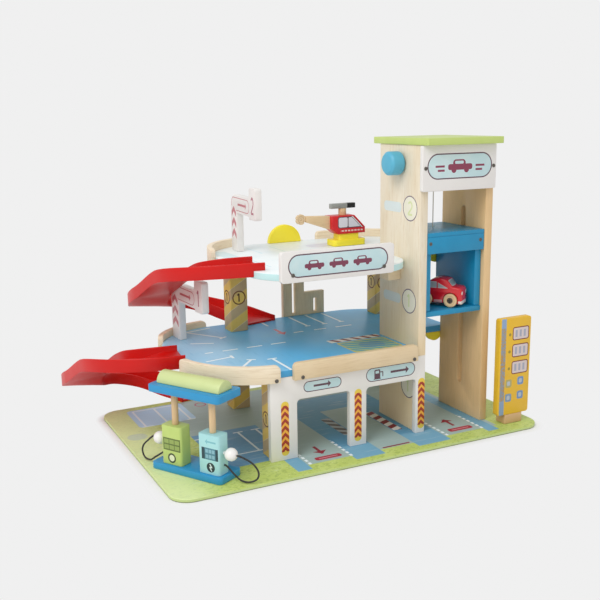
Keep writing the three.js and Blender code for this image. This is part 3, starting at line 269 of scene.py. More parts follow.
# Each hose: its pump, the pump's place along the base, the side it leaves on, how far it
# swings out, and its route as shares of that reach outwards and forwards and of the
# nozzle's height.
hoses = [
    ("green_pump", 27, 1, 46.1, [
        (0.75, 0, 0.79), (0.95, 0, 0.56), (1, 0, 0.35), (0.91, 0, 0.12),
        (0.69, 0, 0.08), (0.46, 0, 0.25), (0, 0, 0.54),
    ]),
    ("turquoise_pump", -37.3, -1, 44.6, [
        (0.65, 0.08, 0.93), (0.88, 0.24, 0.71), (1, 0.35, 0.38), (0.94, 0.34, 0.15),
        (0.74, 0.22, 0.05), (0.52, 0.12, 0.1), (0.3, 0.03, 0.34), (0, 0, 0.57),
    ]),
]
hose_rubber = rubber_finish()
for pump_name, pump_x, side, reach, shares in hoses:
    face = pump_x + side * pump_half_length
    tip = face + side * (nozzle_stand_off + 2 * nozzle_radius + hose_gap)
    start = at_station(tip, pump_y, nozzle_rise)
    beyond = at_station(tip + side * 2 * hose_radius, pump_y, nozzle_rise)
    middle = [
        at_station(face + side * reach * out, pump_y - reach * aside, nozzle_rise * up)
        for out, aside, up in shares[:-1]
    ]
    end_rise = nozzle_rise * shares[-1][2]
    near_end = at_station(face + side * (hose_gap + 2 * hose_radius), pump_y, end_rise)
    end = at_station(face + side * hose_gap, pump_y, end_rise)
    hose_route = smooth_route([start, beyond, *middle, near_end, end], hose_steps)
    hose_curve = bpy.data.curves.new(pump_name + "_rubber_hose", "CURVE")
    hose_curve.dimensions = "3D"
    hose_curve.bevel_depth = hose_radius * mm
    hose_curve.bevel_resolution = 4
    hose_curve.use_fill_caps = True
    hose_line = hose_curve.splines.new("POLY")
    hose_line.points.add(len(hose_route) - 1)
    for point, place in zip(hose_line.points, hose_route):
        point.co = (*place, 1)
    hose_line.use_smooth = True
    hose = bpy.data.objects.new(pump_name + "_rubber_hose", hose_curve)
    hose.data.materials.append(hose_rubber)
    bpy.context.scene.collection.objects.link(hose)
    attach(hose, "pump_station")
    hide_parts(pump_name + "_hose")
    hose_length = sum((b - a).length for a, b in zip(hose_route, hose_route[1:]))


# Studio: a pale floor that keeps the toy's contact shadow and is as even as the backdrop
# elsewhere, one large soft lamp high on the left and the light of the room.
def plate(u, v, u0, u1, v0, v1, radius):
    """How far outside a plate with round corners a place is: below zero inside it."""
    out_u = (abs(u - (u0 + u1) / 2) - ((u1 - u0) / 2 - radius)) | 0
    out_v = (abs(v - (v0 + v1) / 2) - ((v1 - v0) / 2 - radius)) | 0
    return (out_u * out_u + out_v * out_v).root() - radius


backdrop_grey = 0.871
backdrop_colour = (backdrop_grey, backdrop_grey, backdrop_grey, 1)
floor_colour = (0.86, 0.86, 0.86, 1)
floor_half = 6
shadow_foot = (-300, 300, -192.5, 192.5, 28)
shadow_reach = (-4, 15)
room_strength = 0.78
lamp_size = 1.5
lamp_power = 38
lamp_place = (-1.9, -1.05, 2.4)
lamp_aim = Vector((0, 0, 0.15))
floor_mesh = bpy.data.meshes.new("studio_floor")
floor_mesh.from_pydata(
    [(-floor_half, -floor_half, 0), (floor_half, -floor_half, 0), (floor_half, floor_half, 0),
     (-floor_half, floor_half, 0)], [], [(0, 1, 2, 3)])
floor = bpy.data.objects.new("studio_floor", floor_mesh)
bpy.context.scene.collection.objects.link(floor)
floor_finish = Finish("studio_floor", "#EFEFEF", 1)
clear_of_toy = plate(floor_finish.x, floor_finish.y, *shadow_foot).over(*shadow_reach)
seen = floor_finish.node("LightPath", output="Is Camera Ray")
floor_paint = floor_finish.node("BsdfDiffuse", None, {"Color": floor_colour})
floor_glow = floor_finish.node("Emission", None, {"Color": backdrop_colour, "Strength": 1})
floor_mix = floor_finish.node("MixShader", None, {
    0: seen * clear_of_toy, 1: floor_paint, 2: floor_glow,
})
floor_finish.tree.links.new(
    floor_mix.socket, floor_finish.tree.nodes["Material Output"].inputs["Surface"])
floor.data.materials.append(floor_finish.material)

world = bpy.data.worlds.new("studio")
world.use_nodes = True
bpy.context.scene.world = world
room = world.node_tree
room_light = room.nodes["Background"]
room_light.inputs["Color"].default_value = (1, 1, 1, 1)
room_light.inputs["Strength"].default_value = room_strength
backdrop = room.nodes.new("ShaderNodeBackground")
backdrop.inputs["Color"].default_value = backdrop_colour
ray = room.nodes.new("ShaderNodeLightPath")
either = room.nodes.new("ShaderNodeMixShader")
room.links.new(ray.outputs["Is Camera Ray"], either.inputs[0])
room.links.new(room_light.outputs[0], either.inputs[1])
room.links.new(backdrop.outputs[0], either.inputs[2])
room.links.new(either.outputs[0], room.nodes["World Output"].inputs[0])

lamp_data = bpy.data.lights.new("soft_box", "AREA")
lamp_data.size = lamp_size
lamp_data.energy = lamp_power
lamp = bpy.data.objects.new("soft_box", lamp_data)
lamp.location = lamp_place
lamp.rotation_euler = (lamp_aim - lamp.location).to_track_quat("-Z", "Y").to_euler()
bpy.context.scene.collection.objects.link(lamp)
bpy.context.scene.view_settings.view_transform = "Standard"


# Base board: a thin board with round corners, printed with mottled grass round a car park of
# grey lanes, blue strips, parking bays, arrows and striped kerbs; its edge is painted green.
edge_ease = 0.7 * mm
base_ease = 0.9 * mm
merge_gap = 0.01 * mm
flat_within = math.radians(0.5)
rounded_from = math.radians(38)
smooth_within = math.radians(36)


def eased(node, material, ease=edge_ease, body="garage"):
    """A copy of a packed board with its edges softly rounded, which stands for the board."""
    bpy.ops.object.select_all(action="DESELECT")
    piece = bpy.data.objects.new(node + "_eased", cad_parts[node].data.copy())
    bpy.context.scene.collection.objects.link(piece)
    bpy.context.view_layer.objects.active = piece
    piece.select_set(True)
    piece.data.materials.clear()
    piece.data.materials.append(material)
    bpy.ops.object.mode_set(mode="EDIT")
    bpy.ops.mesh.select_all(action="SELECT")
    bpy.ops.mesh.remove_doubles(threshold=merge_gap)
    bpy.ops.mesh.dissolve_limited(angle_limit=flat_within)
    bpy.ops.object.mode_set(mode="OBJECT")
    if ease > 0:
        bevel = piece.modifiers.new("ease", "BEVEL")
        bevel.width = ease
        bevel.segments = 2
        bevel.limit_method = "ANGLE"
        bevel.angle_limit = rounded_from
        bpy.ops.object.modifier_apply(modifier=bevel.name)
    bpy.ops.object.shade_smooth_by_angle(angle=smooth_within)
    piece.select_set(False)
    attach(piece, body)
    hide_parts(node)
    return piece


def boxes(u, v, table):
    """A mask of rectangles, each from u0 to u1 and from v0 to v1."""
    mask = None
    for u0, u1, v0, v1 in table:
        one = u.within(u0, u1) & v.within(v0, v1)
        mask = one if mask is None else mask | one
    return mask


def stroke(u, v, start, end, width):
    """A mask of a straight line between two points."""
    du, dv = end[0] - start[0], end[1] - start[1]
    length = math.hypot(du, dv)
    along = (u - start[0]) * (du / length) + (v - start[1]) * (dv / length)
    across = (u - start[0]) * (-dv / length) + (v - start[1]) * (du / length)
    return along.within(0, length) & across.within(-width / 2, width / 2)


def strokes(u, v, lines, width):
    """A mask of several straight lines."""
    mask = None
    for start, end in lines:
        one = stroke(u, v, start, end, width)
        mask = one if mask is None else mask | one
    return mask


def distance_to(u, v, centre):
    """How far a place lies from a centre."""
    du, dv = u - centre[0], v - centre[1]
    return (du * du + dv * dv).root()


def kerb_stripes(finish, u, v, box, pitch, slant, pale, dark, dark_share=0.5):
    """A kerb painted with stripes of two colours, which lie across v where the slant is 0."""
    kerb = boxes(u, v, [box])
    finish.cover(kerb, pale)
    finish.cover(kerb & (((v + u * slant) % pitch) < pitch * dark_share), dark)


base_edge_top = 4.2
base_edge_foot = 1.2
painted_from = 0.2
lane_front = -165
grass_painted_light = (-220, -280)
puddle = (-292, -262, 42, 68, 12)
grey_lanes = [(-205, 232, -125, 178), (-120, 232, lane_front, -120)]
front_strips = [
    (-120, -98, -180, -125), (-28, 20, -180, -130), (78, 135, -180, -130), (205, 225, -180, 178),
]
shaded_inner_road = [(-28, 20, -130, 60), (78, 135, -130, 60), (-28, 135, 22, 90)]
side_bays = [(-205, -98, -125, 17)]
rear_bays = (-262, -168, 90, 176, 8)
printed_ground = [(-262, 232, lane_front, 178)]
rear_bay_lines = [
    ((-252, 92), (-252, 170)), ((-216, 92), (-216, 170)), ((-178, 92), (-178, 170)),
    ((-252, 170), (-178, 170)), ((-258, 92), (-240, 92)), ((-222, 92), (-206, 92)),
    ((-184, 92), (-170, 92)),
]
side_bay_lines = [
    ((-135, -85), (-135, 0)), ((-105, -85), (-105, 0)), ((-205, -83), (-100, -83)),
    ((-143, 0), (-127, 0)), ((-113, 0), (-98, 0)), ((-205, 0), (-165, 0)), ((-200, -40), (-165, -60)),
]
bay_line_width = 3.4
dash_centres = (-93, -27, 140, 205)
dash_half_width = 2.2
dash_pitch = 11
dash_length = 7
dash_ends = (-168, -98)
lane_arrows = [((-60, -108), (-60, -138), -1), ((173, -135), (173, -105), 1)]
arrow_head = 11
arrow_stem = 5
lane_marks = [(-80, -38, -158, -147), (152, 195, -156, -144)]
mark_corner = 4
mark_inset = 6
mark_line_half = 1.2
stop_line = (27, 73, -163, -159)
grey_kerb = (3, 18, -90, -12)
red_kerb = (80, 95, -108, -18)
ring_centre = (-140, 152)
ring_span = (7.5, 10)


def base_finish():
    finish = Finish("base_print", "#BACC6A", 0.5)
    x, y, z = finish.x, finish.y, finish.z
    finish.cover(finish.noise(24, 3).over(0.4, 0.7) * 0.6, "#C8D781")
    leaf = finish.noise(4.2, 2, stretch=(1.5, 1, 1))
    finish.cover(leaf.over(0.54, 0.62) * 0.55, "#93AB52")
    finish.cover(finish.noise(2.4, 2).over(0.6, 0.7) * 0.45, "#DCE5AC")
    # Painted light: the grass is printed paler towards the far left edge, lightening it where the ramp
    # above shades it.
    finish.cover(x.over(*grass_painted_light) * 0.6, "#E2F0BA")
    finish.cover((plate(x, y, *puddle) < 0) * 0.4, "#9FB6CB")
    finish.cover(boxes(x, y, grey_lanes), "#A0B6B4")
    finish.cover(boxes(x, y, front_strips), "#72A8C4")
    # Painted shade: the blue strips under the first deck are printed darker than the same strips in
    # front of it.
    finish.cover(boxes(x, y, shaded_inner_road), "#5A98BC")
    finish.cover(boxes(x, y, side_bays), "#6A9CC2")
    finish.cover(plate(x, y, *rear_bays) < 0, "#AFD2EC")
    streak = finish.noise(5, 2, stretch=(9, 1, 1))
    finish.cover(streak.over(0.56, 0.7) * boxes(x, y, printed_ground) * 0.3, "#BACBD2")
    finish.cover(strokes(x, y, rear_bay_lines + side_bay_lines, bay_line_width) * 0.85, "#E2EDF0")
    dash_rows = [(c - dash_half_width, c + dash_half_width, *dash_ends) for c in dash_centres]
    finish.cover(boxes(x, y, dash_rows) & ((y % dash_pitch) < dash_length), "#E6EFF2")
    for tail, tip, way in lane_arrows:
        barb = tip[1] - way * arrow_head
        reach = y.within(min(barb, tip[1]), max(barb, tip[1]))
        head = (abs(x - tip[0]) < (tip[1] - y) * way) & reach
        finish.cover(head | stroke(x, y, tail, tip, arrow_stem), "#8F1E33")
    for x0, x1, y0, y1 in lane_marks:
        middle = (y0 + y1) / 2
        line = (x0 + mark_inset, x1 - mark_inset, middle - mark_line_half, middle + mark_line_half)
        finish.cover(plate(x, y, x0, x1, y0, y1, mark_corner) < 0, "#A62A3C")
        finish.cover(boxes(x, y, [line]), "#D08D96")
    finish.cover(boxes(x, y, [stop_line]), "#85323C")
    kerb_stripes(finish, x, y, grey_kerb, pitch=20, slant=0.8, pale="#A9B2B5", dark="#5E5656")
    kerb_stripes(finish, x, y, red_kerb, pitch=22, slant=-0.4, pale="#E4E1DE", dark="#85222E")
    finish.cover(distance_to(x, y, ring_centre).within(*ring_span), "#B0607A")
    # Painted shade: the lowest part of the edge is a dark olive band, the contact shade along the
    # floor; above it the edge is pale green.
    edge = finish.mix(z > base_edge_foot, tone("#76804F"), tone("#BFD088"))
    finish.ink = finish.mix(z > base_edge_top, edge, finish.ink)
    finish.ink = finish.mix(z > painted_from, tone("#D2BF97"), finish.ink)
    return finish.done(height=finish.noise(1.2), depth=0.03, rough=0.42 + finish.noise(14) * 0.16)


eased("base_board", base_finish(), base_ease)


# Decks: boards painted on top and round the edge, the first blue with white bay lines and a
# striped kerb before the lift, the second nearly white with pale blue marks.
deck_face = 1
deck_underside = 0.3
deck_1_lit_left = (-70, -170)
bay_dividers = (28, 60, 92)
divider_ends = (78, 150)
divider_foot = 5
deck_1_dashes = [
    (49, (-12, 5)), (49, (25, 47)), (49, (65, 95)),
    (1, (-183, -170)), (1, (-155, -130)), (1, (-115, -90)), (1, (-75, -50)),
]
deck_1_slants = [
    ((-30, 110), (-30, 135)), ((-165, 135), (-125, 75)), ((-183, 65), (-150, 50)),
    ((-197, -42), (-155, -35)), ((-160, -90), (-135, -62)), ((-107, -140), (-107, -73)),
    ((-115, -73), (-100, -73)), ((-142, -60), (-130, -66)), ((-155, -43), (-154, -28)),
    ((-132, 71), (-118, 79)), ((-165, 135), (-120, 146)),
]
deck_1_line_width = 3.8
landing_frame = (14, 98, -104, -44, 4)
landing = (17, 95, -101, -47, 3)
landing_spot = (40, 80, -90, -60, 10)
hatch_pitch = 16
hatch_width = 5
lift_kerb = (-40, -24, 8, 98)
deck_arrow_x = -30
deck_arrow_ends = (45, 60)
deck_arrow_tail = 85
deck_arrow_spread = 0.6
deck_arrow_stem = 6
deck_2_spot = (34, 86, 70, 104, 12)
deck_2_bay = (-128, -104, -20, 110)
deck_2_lines = [
    ((-60, 60), (-60, 120)), ((-20, 60), (-20, 120)), ((-100, -60), (-100, 20)), ((60, -90), (60, -20)),
]
deck_2_line_width = 3.2


def deck_done(finish, node, edge):
    """Paints the deck's edge and leaves its underside bare."""
    low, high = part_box(node)
    finish.ink = finish.mix(finish.z > high[2] / mm - deck_face, tone(edge), finish.ink)
    finish.ink = finish.mix(finish.z > low[2] / mm + deck_underside, tone("#DCCBA4"), finish.ink)
    return finish.done(height=finish.noise(1.4), depth=0.012, rough=0.33 + finish.noise(18) * 0.06)


def deck_1_finish():
    finish = Finish("deck_1_print", "#60BAF0", 0.45, {"Specular IOR Level": 0.25})
    x, y = finish.x, finish.y
    # Painted light: the deck's left part, out from under the upper deck, is printed a paler blue where
    # light reaches it.
    finish.cover(x.over(*deck_1_lit_left), "#A3D3F0")
    finish.cover(finish.noise(30, 3).over(0.35, 0.75) * 0.25, "#78C6EC")
    finish.cover(finish.noise(6, 2, stretch=(1, 8, 1)).over(0.55, 0.75) * 0.3, "#60AEDC")
    near, far = divider_ends
    lines = [((c, near), (c, far)) for c in bay_dividers]
    lines += [((c - divider_foot, near), (c + divider_foot, near)) for c in bay_dividers]
    lines += [((a, row), (b, row)) for row, (a, b) in deck_1_dashes]
    finish.cover(strokes(x, y, lines + deck_1_slants, deck_1_line_width), "#F1FAFF")
    in_landing = plate(x, y, *landing) < 0
    finish.cover(plate(x, y, *landing_frame) < 0, "#D8CE6A")
    finish.cover(in_landing, "#5FAFC4")
    finish.cover(in_landing & (((x + y) % hatch_pitch) < hatch_width), "#C9D48A")
    finish.cover((plate(x, y, *landing_spot) < 0) * 0.55, "#5A94C8")
    kerb_stripes(finish, y, x, lift_kerb, pitch=18, slant=0.5, pale="#F0EBE6", dark="#86222F",
                 dark_share=0.42)
    tip, shoulder = deck_arrow_ends
    head = (abs(x - deck_arrow_x) < (y - tip) * deck_arrow_spread) & y.within(tip, shoulder)
    stem_ends = (deck_arrow_x, shoulder - 2), (deck_arrow_x, deck_arrow_tail)
    stem = stroke(x, y, *stem_ends, deck_arrow_stem)
    finish.cover(head | stem, "#CF5F70")
    return deck_done(finish, "level_1_deck", "#4FA3D6")


def deck_2_finish():
    finish = Finish("deck_2_print", "#F1F8F9", 0.4)
    x, y = finish.x, finish.y
    finish.cover(finish.noise(34, 3).over(0.4, 0.75) * 0.45, "#DDF0F5")
    finish.cover((plate(x, y, *deck_2_spot) < 0) * 0.5, "#D3D0E6")
    finish.cover(boxes(x, y, [deck_2_bay]) * 0.45, "#A9DCE6")
    finish.cover(strokes(x, y, deck_2_lines, deck_2_line_width) * 0.6, "#BFE3EC")
    return deck_done(finish, "level_2_deck", "#C4E6E6")


eased("level_1_deck", deck_1_finish())
eased("level_2_deck", deck_2_finish())


# Facade and sign boards: white lacquered boards, printed with striped warning strips on the
# three legs and with round ended plates that show a plain arrow, pump or car.
def lacquer(finish):
    """A faint cloud under a white lacquer's print."""
    finish.cloud(40, "#DEDAD6", 0.3)
    return finish


def lacquer_done(finish):
    return finish.done(height=finish.noise(2.2), depth=0.03, rough=0.32 + finish.noise(20) * 0.12)


def car_mark(u, v, left, foot, size):
    """A plain side view of a car, size millimetres long."""

    def panel(from_left, to_right, bottom, top, radius):
        return plate(
            u, v, left + from_left * size, left + to_right * size,
            foot + bottom * size, foot + top * size, radius * size,
        ) < 0

    def wheel(along):
        return distance_to(u, v, (left + along * size, foot + 0.1 * size)) < 0.1 * size

    body = panel(0, 1, 0.1, 0.3, 0.08)
    cabin = panel(0.2, 0.72, 0.2, 0.45, 0.12)
    window = panel(0.28, 0.64, 0.3, 0.4, 0.04)
    return ((body | cabin) & (1 - window)) | wheel(0.24) | wheel(0.76)


def arrow_mark(u, v, tail, tip, height, width):
    """A level arrow from tail to tip."""
    way = 1 if tip > tail else -1
    barb = tip - way * width * 1.6
    head = (abs(v - height) < (tip - u) * way) & u.within(min(barb, tip), max(barb, tip))
    return head | stroke(u, v, (tail, height), (tip - way * width, height), width)


sign_ink = "#5E3F4C"
sign_blue = "#BFDADD"
car_ink = "#8A3A52"
print_depth = 0.5


def sign_plate(finish, box, line):
    """A round ended plate with a thin dark outline, printed on the front."""
    x0, x1, z0, z1 = box
    edge = plate(finish.x, finish.z, x0, x1, z0, z1, (z1 - z0) / 2 - 0.1)
    finish.cover((edge < 0) & finish.front, sign_ink)
    finish.cover((edge < -line) & finish.front, sign_blue)
    finish.cover((finish.noise(26, 2).over(0.4, 0.7) * (edge < -line)) & finish.front, "#CBDFE0")


strip_centres = [-117.5, 0.5, 111]
strip_half = 6
strip_span = (12, 92)
strip_corner = 5.8
strip_foot_glow = (26, 12)
strip_top_glow = (78, 92)
chevron_span = (18, 86)
chevron_pitch = 10.3
chevron_share = 0.54
chevron_lean = 1.05
way_out_plate = (-88, -27, 100, 116)
way_out_arrow = (-72, -44, 108, 3)
fuel_plate = (14, 99, 99, 120)
fuel_arrow = (56, 88, 109.5, 3.4)
fuel_pump = (28, 38, 102.5, 116.5, 2)
fuel_pump_window = (30, 36, 110.5, 114.5)
fuel_pump_lines = [((38, 112), (42.5, 112)), ((42.5, 112), (42.5, 105)), ((27, 102.5), (39, 102.5))]
fuel_pump_line = 1.5
tower_plate = (110, 225, 388, 425)
tower_car = (146, 396.5, 43)
speed_lines = [(124, 140, 405, 408), (195, 211, 405, 408), (128, 140, 399, 402), (195, 207, 399, 402)]
deck_plate = (-113, 44.6, 266.5, 298.6)
deck_car_places = (-88, -50, -12)
deck_car_foot = 275.5
deck_car_length = 30
small_plate_line = 1.3
long_plate_line = 1.8


def front_of(finish, node):
    """A mask of the node's foremost face."""
    return finish.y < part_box(node)[0][1] / mm + print_depth


def facade_finish():
    finish = lacquer(Finish("facade_print", "#EAE6E1", 0.35))
    x, z = finish.x, finish.z
    finish.front = front_of(finish, "facade")
    foot, top = strip_span
    for centre in strip_centres:
        edge = plate(x, z, centre - strip_half, centre + strip_half, foot, top, strip_corner)
        strip = (edge < 0) & finish.front
        finish.cover(strip, "#F4B13E")
        finish.cover((z.over(*strip_foot_glow) + z.over(*strip_top_glow)) * strip, "#EBD04A")
        rise = z + abs(x - centre) * chevron_lean
        chevron = (rise % chevron_pitch) < chevron_pitch * chevron_share
        finish.cover(strip & chevron & z.within(*chevron_span), "#A5301F")
    sign_plate(finish, way_out_plate, small_plate_line)
    finish.cover(arrow_mark(x, z, *way_out_arrow) & finish.front, sign_ink)
    sign_plate(finish, fuel_plate, small_plate_line)
    finish.cover(arrow_mark(x, z, *fuel_arrow) & finish.front, sign_ink)
    pump = (plate(x, z, *fuel_pump) < 0) & (1 - boxes(x, z, [fuel_pump_window]))
    finish.cover((pump | strokes(x, z, fuel_pump_lines, fuel_pump_line)) & finish.front, sign_ink)
    return lacquer_done(finish)


def tower_sign_finish():
    finish = lacquer(Finish("tower_sign_print", "#E9E5E1", 0.35))
    x, z = finish.x, finish.z
    finish.front = front_of(finish, "tower_sign_board")
    sign_plate(finish, tower_plate, long_plate_line)
    finish.cover(car_mark(x, z, *tower_car) & finish.front, car_ink)
    finish.cover(boxes(x, z, speed_lines) & finish.front, car_ink)
    return lacquer_done(finish)


def deck_sign_finish():
    finish = lacquer(Finish("deck_sign_print", "#E9E5E1", 0.35))
    x, z = finish.x, finish.z
    finish.front = front_of(finish, "level_2_sign_board")
    sign_plate(finish, deck_plate, long_plate_line)
    for left in deck_car_places:
        finish.cover(car_mark(x, z, left, deck_car_foot, deck_car_length) & finish.front, "#7C3A50")
    return lacquer_done(finish)


eased("facade", facade_finish())
eased("tower_sign_board", tower_sign_finish())
eased("level_2_sign_board", deck_sign_finish())


# Wooden boards: clear lacquered beech plywood for the tower's panels, the rails and the panel
# behind the decks, with the grain along each board.
grain_lengths = {"x": (18, 1, 1), "z": (1, 1, 18), "xy": (18, 18, 1)}


def wood_finish(name, along, pale="#EAD8B8", dark="#D9BE92"):
    """Bare beech: pale and dark clouds, with fine grain drawn out along the board."""
    stretch = grain_lengths[along]
    finish = Finish(name, pale, 0.45)
    grain = finish.noise(2.1, 4, stretch=stretch)
    cloud = finish.noise(34, 2, stretch=tuple(s ** 0.35 for s in stretch))
    finish.cover(cloud.over(0.3, 0.8) * 0.45, dark)
    finish.cover(grain.over(0.5, 0.7) * 0.35, "#CBAF82")
    finish.cover(finish.noise(0.9, 2, stretch=stretch).over(0.58, 0.7) * 0.22, "#C2A679")
    finish.grain = grain
    return finish


def wood_done(finish):
    return finish.done(height=finish.grain, depth=0.04, rough=0.36 + finish.grain * 0.2)


digit_strokes = {
    1: [((0, 0), (0, 24)), ((0, 24), (-5, 19))],
    2: [
        ((-7, 0), (7, 0)), ((-7, 0), (6, 13)), ((6, 13), (6, 19)), ((6, 19), (1, 24)),
        ((1, 24), (-6, 20)),
    ],
}
tower_outside = 104.9
tower_digits = [(345, 2), (206, 1), (73, 1)]
tower_ring_y = -108
tower_ring_radius = 18.2
tower_ring_line = (17.2, 18.8)
tower_digit_scale = 0.8
tower_digit_drop = 9
tower_digit_line = 3
tower_plate_sides = (-85, -37)
tower_plate_feet = (337, 198)
tower_plate_height = 15
tower_plate_corner = 6
tower_warm_part = (240, 120)


def digit_lines(digit, u, foot, across, up):
    """The strokes of a digit that stands on foot; a negative width mirrors it."""
    return [
        ((u + a * across, foot + b * up), (u + c * across, foot + d * up))
        for (a, b), (c, d) in digit_strokes[digit]
    ]


def tower_left_finish():
    finish = wood_finish("tower_left_wood", "z", "#E8DDC8", "#DCC8A4")
    y, z = finish.y, finish.z
    finish.cover(z.over(*tower_warm_part) * 0.7, "#F0D5A6")
    outside = finish.x < tower_outside
    for height, digit in tower_digits:
        ring = distance_to(y, z, (tower_ring_y, height))
        finish.cover((ring < tower_ring_radius) & outside, "#E9E5D2")
        finish.cover(ring.within(*tower_ring_line) & outside, "#716273")
        marks = digit_lines(
            digit, tower_ring_y, height - tower_digit_drop, -tower_digit_scale, tower_digit_scale)
        finish.cover(strokes(y, z, marks, tower_digit_line) & outside, "#D3DBA6")
    for foot in tower_plate_feet:
        top = foot + tower_plate_height
        edge = plate(y, z, *tower_plate_sides, foot, top, tower_plate_corner)
        finish.cover((edge < 0) & outside, "#D3DDDC")
    return wood_done(finish)


wood_upright = wood_done(wood_finish("wood_upright", "z"))
wood_across = wood_done(wood_finish("wood_across", "x"))
wood_rail = wood_done(wood_finish("wood_rail", "xy", "#F2E2C8", "#E4CCA4"))
wood_front_rail = wood_done(wood_finish("wood_front_rail", "x", "#E6D0AC", "#D4B78C"))
wood_tower = wood_done(wood_finish("wood_tower", "z", "#E6C493", "#D0A975"))
eased("tower_left_panel", tower_left_finish())
eased("tower_right_panel", wood_tower)
curved_rails = (
    "level_1_front_left_rail", "level_1_rear_left_rail", "level_2_left_rail", "level_2_rear_rail",
)
for rail_name in curved_rails:
    eased(rail_name, wood_rail)
eased("level_1_front_right_rail", wood_front_rail)
eased("rear_support_panel", wood_upright)
eased("deck_support_cleat", wood_across)


# Columns: square beech posts, washed with slanted yellow and brown bands, each with a ringed
# number one on its two outer faces.
band_pitch = 35
band_width = 17
band_slope = 0.6
band_fade = 1.5
band_edge = 2
ring_rise = 56
ring_radius = 11
ring_line = (9.6, 11.6)
ring_digit_scale = 0.55
ring_digit_drop = 6.5
ring_digit_line = 2.4
column_names = (
    "ground_front_column", "ground_left_column", "ground_right_column", "level_1_left_column",
    "level_1_right_column",
)


def column_finish(name, node):
    finish = wood_finish(name, "z")
    low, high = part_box(node)
    left, front, foot = (v / mm for v in low)
    middle_x, middle_y = ((low[k] + high[k]) / 2 / mm for k in (0, 1))
    x, y, z = finish.x, finish.y, finish.z
    slant = z - foot - (x - left) * band_slope + (y - front) * band_slope
    band = slant % band_pitch
    past = band.over(band_width, band_width + band_edge)
    finish.cover(band.over(0, band_fade) * (1 - past) * 0.8, "#E8BE3A")
    finish.cover(past * 0.7, "#B8935F")
    faces = [
        (x, middle_x, y < front + print_depth, ring_digit_scale),
        (y, middle_y, x < left + print_depth, -ring_digit_scale),
    ]
    for axis, centre, face, across in faces:
        ring = distance_to(axis, z, (centre, foot + ring_rise))
        finish.cover((ring < ring_radius) * 0.5 & face, "#E5C45C")
        finish.cover(ring.within(*ring_line) & face, "#6E3A1C")
        marks = digit_lines(1, centre, foot + ring_rise - ring_digit_drop, across, ring_digit_scale)
        finish.cover(strokes(axis, z, marks, ring_digit_line) & face, "#5A3216")
    return wood_done(finish)


for column_name in column_names:
    eased(column_name, column_finish(column_name + "_print", column_name))


# Painted trims: the lime roof that caps the tower, the tall yellow half disc behind the upper
# deck and the two small ones behind the lift; all are sawn boards with one coat of paint.
def painted(name, colour, shade, roughness=0.4):
    """A plain coat of paint with a faint cloud of a second shade."""
    finish = Finish(name, colour, roughness)
    finish.cloud(24, shade, 0.45)
    rough = roughness - 0.07 + finish.noise(12) * 0.16
    return finish.done(height=finish.noise(1.6), depth=0.04, rough=rough)


lime_paint = painted("lime_paint", "#C2D379", "#B8CB6C")
yellow_paint = painted("yellow_paint", "#FAE93C", "#F2DE34")
eased("tower_roof", lime_paint)
for disc in ("rear_marker_disc", "level_1_landing_tab", "level_2_landing_tab"):
    eased(disc, yellow_paint)


# Level signs: white lacquered boards that stand on the decks, with red arrow stripes up the
# post, an arrow in a thin red frame along the arm and the storey's number on the plate.
sign_red = "#BE5F68"
post_middle = 15
chevron_rise = 17.5
chevron_height = 8.5
chevron_foot = 11
chevron_slope = 0.8
chevron_half_width = 11
post_print = (20, 73)
arm_frame = (4, 92, 65.5, 86.5, 10)
arm_frame_line = 1.2
frame_gap = (27, 72)
arm_arrow = (36, 78, 76, 3.4)
number_u = 107
number_foot = 68
number_scale = (0.8, 1)
number_line = 3.2


def level_sign_finish(number, node):
    finish = lacquer(Finish(f"level_{number}_sign_print", "#ECE8E4", 0.35))
    low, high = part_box(node)
    u = high[1] / mm - finish.y
    v = finish.z - low[2] / mm
    seen_side = finish.x < (low[0] + high[0]) / 2 / mm
    from_middle = abs(u - post_middle)
    above_foot = v + from_middle * chevron_slope - chevron_foot
    chevron = (above_foot % chevron_rise) < chevron_height
    on_post = (from_middle < chevron_half_width) & v.within(*post_print)
    finish.cover(chevron & on_post & seen_side, "#C26A72")
    frame_edge = plate(u, v, *arm_frame).within(-arm_frame_line, 0)
    clear_of_post = 1 - ((u < frame_gap[0]) & (v < frame_gap[1]))
    finish.cover(frame_edge & clear_of_post & seen_side, sign_red)
    finish.cover(arrow_mark(u, v, *arm_arrow) & seen_side, sign_red)
    lines = digit_lines(number, number_u, number_foot, *number_scale)
    finish.cover(strokes(u, v, lines, number_line) & seen_side, "#A9586B")
    return lacquer_done(finish)


eased("level_1_sign", level_sign_finish(1, "level_1_sign"))
eased("level_2_sign", level_sign_finish(2, "level_2_sign"))


# Ramps: two red moulded channels that hook over a deck's edge and wind down to the storey
# below; thin walls with rounded rims and a faint moulding grain.
rim_ease = 0.5 * mm


def moulding_finish():
    finish = Finish("ramp_moulding", "#CE1009", 0.34, {
        "Specular IOR Level": 0.3, "Coat Weight": 0.05, "Coat Roughness": 0.25,
    })
    finish.cloud(60, "#BE0D08")
    return finish.done(height=finish.noise(0.7), depth=0.015, rough=0.3 + finish.noise(16) * 0.12)


ramp_moulding = moulding_finish()
for ramp in ("upper_ramp", "lower_ramp"):
    eased(ramp, ramp_moulding, rim_ease)


# Lift: an open box of blue painted boards that hangs on a string from a beech shaft; wooden
# pegs in its sides run in the tower's grooves, and the knob is a turned and painted block.
peg_ease = 0.3 * mm
knob_ease = 0.6 * mm
lift_paint = painted("lift_paint", "#168CB8", "#1281AC", 0.33)
for board in ("lift_floor", "lift_left_side", "lift_right_side", "lift_roof", "lift_front_frame"):
    eased(board, lift_paint, body="lift_car")
for peg in ("left_guide_peg", "right_guide_peg"):
    eased(peg, wood_across, peg_ease, body="lift_car")
knob_paint = painted("knob_paint", "#58AFCC", "#4CA3C2")
eased("winding_knob", knob_paint, knob_ease, body="winder")
eased("winding_shaft", wood_across, peg_ease, body="winder")
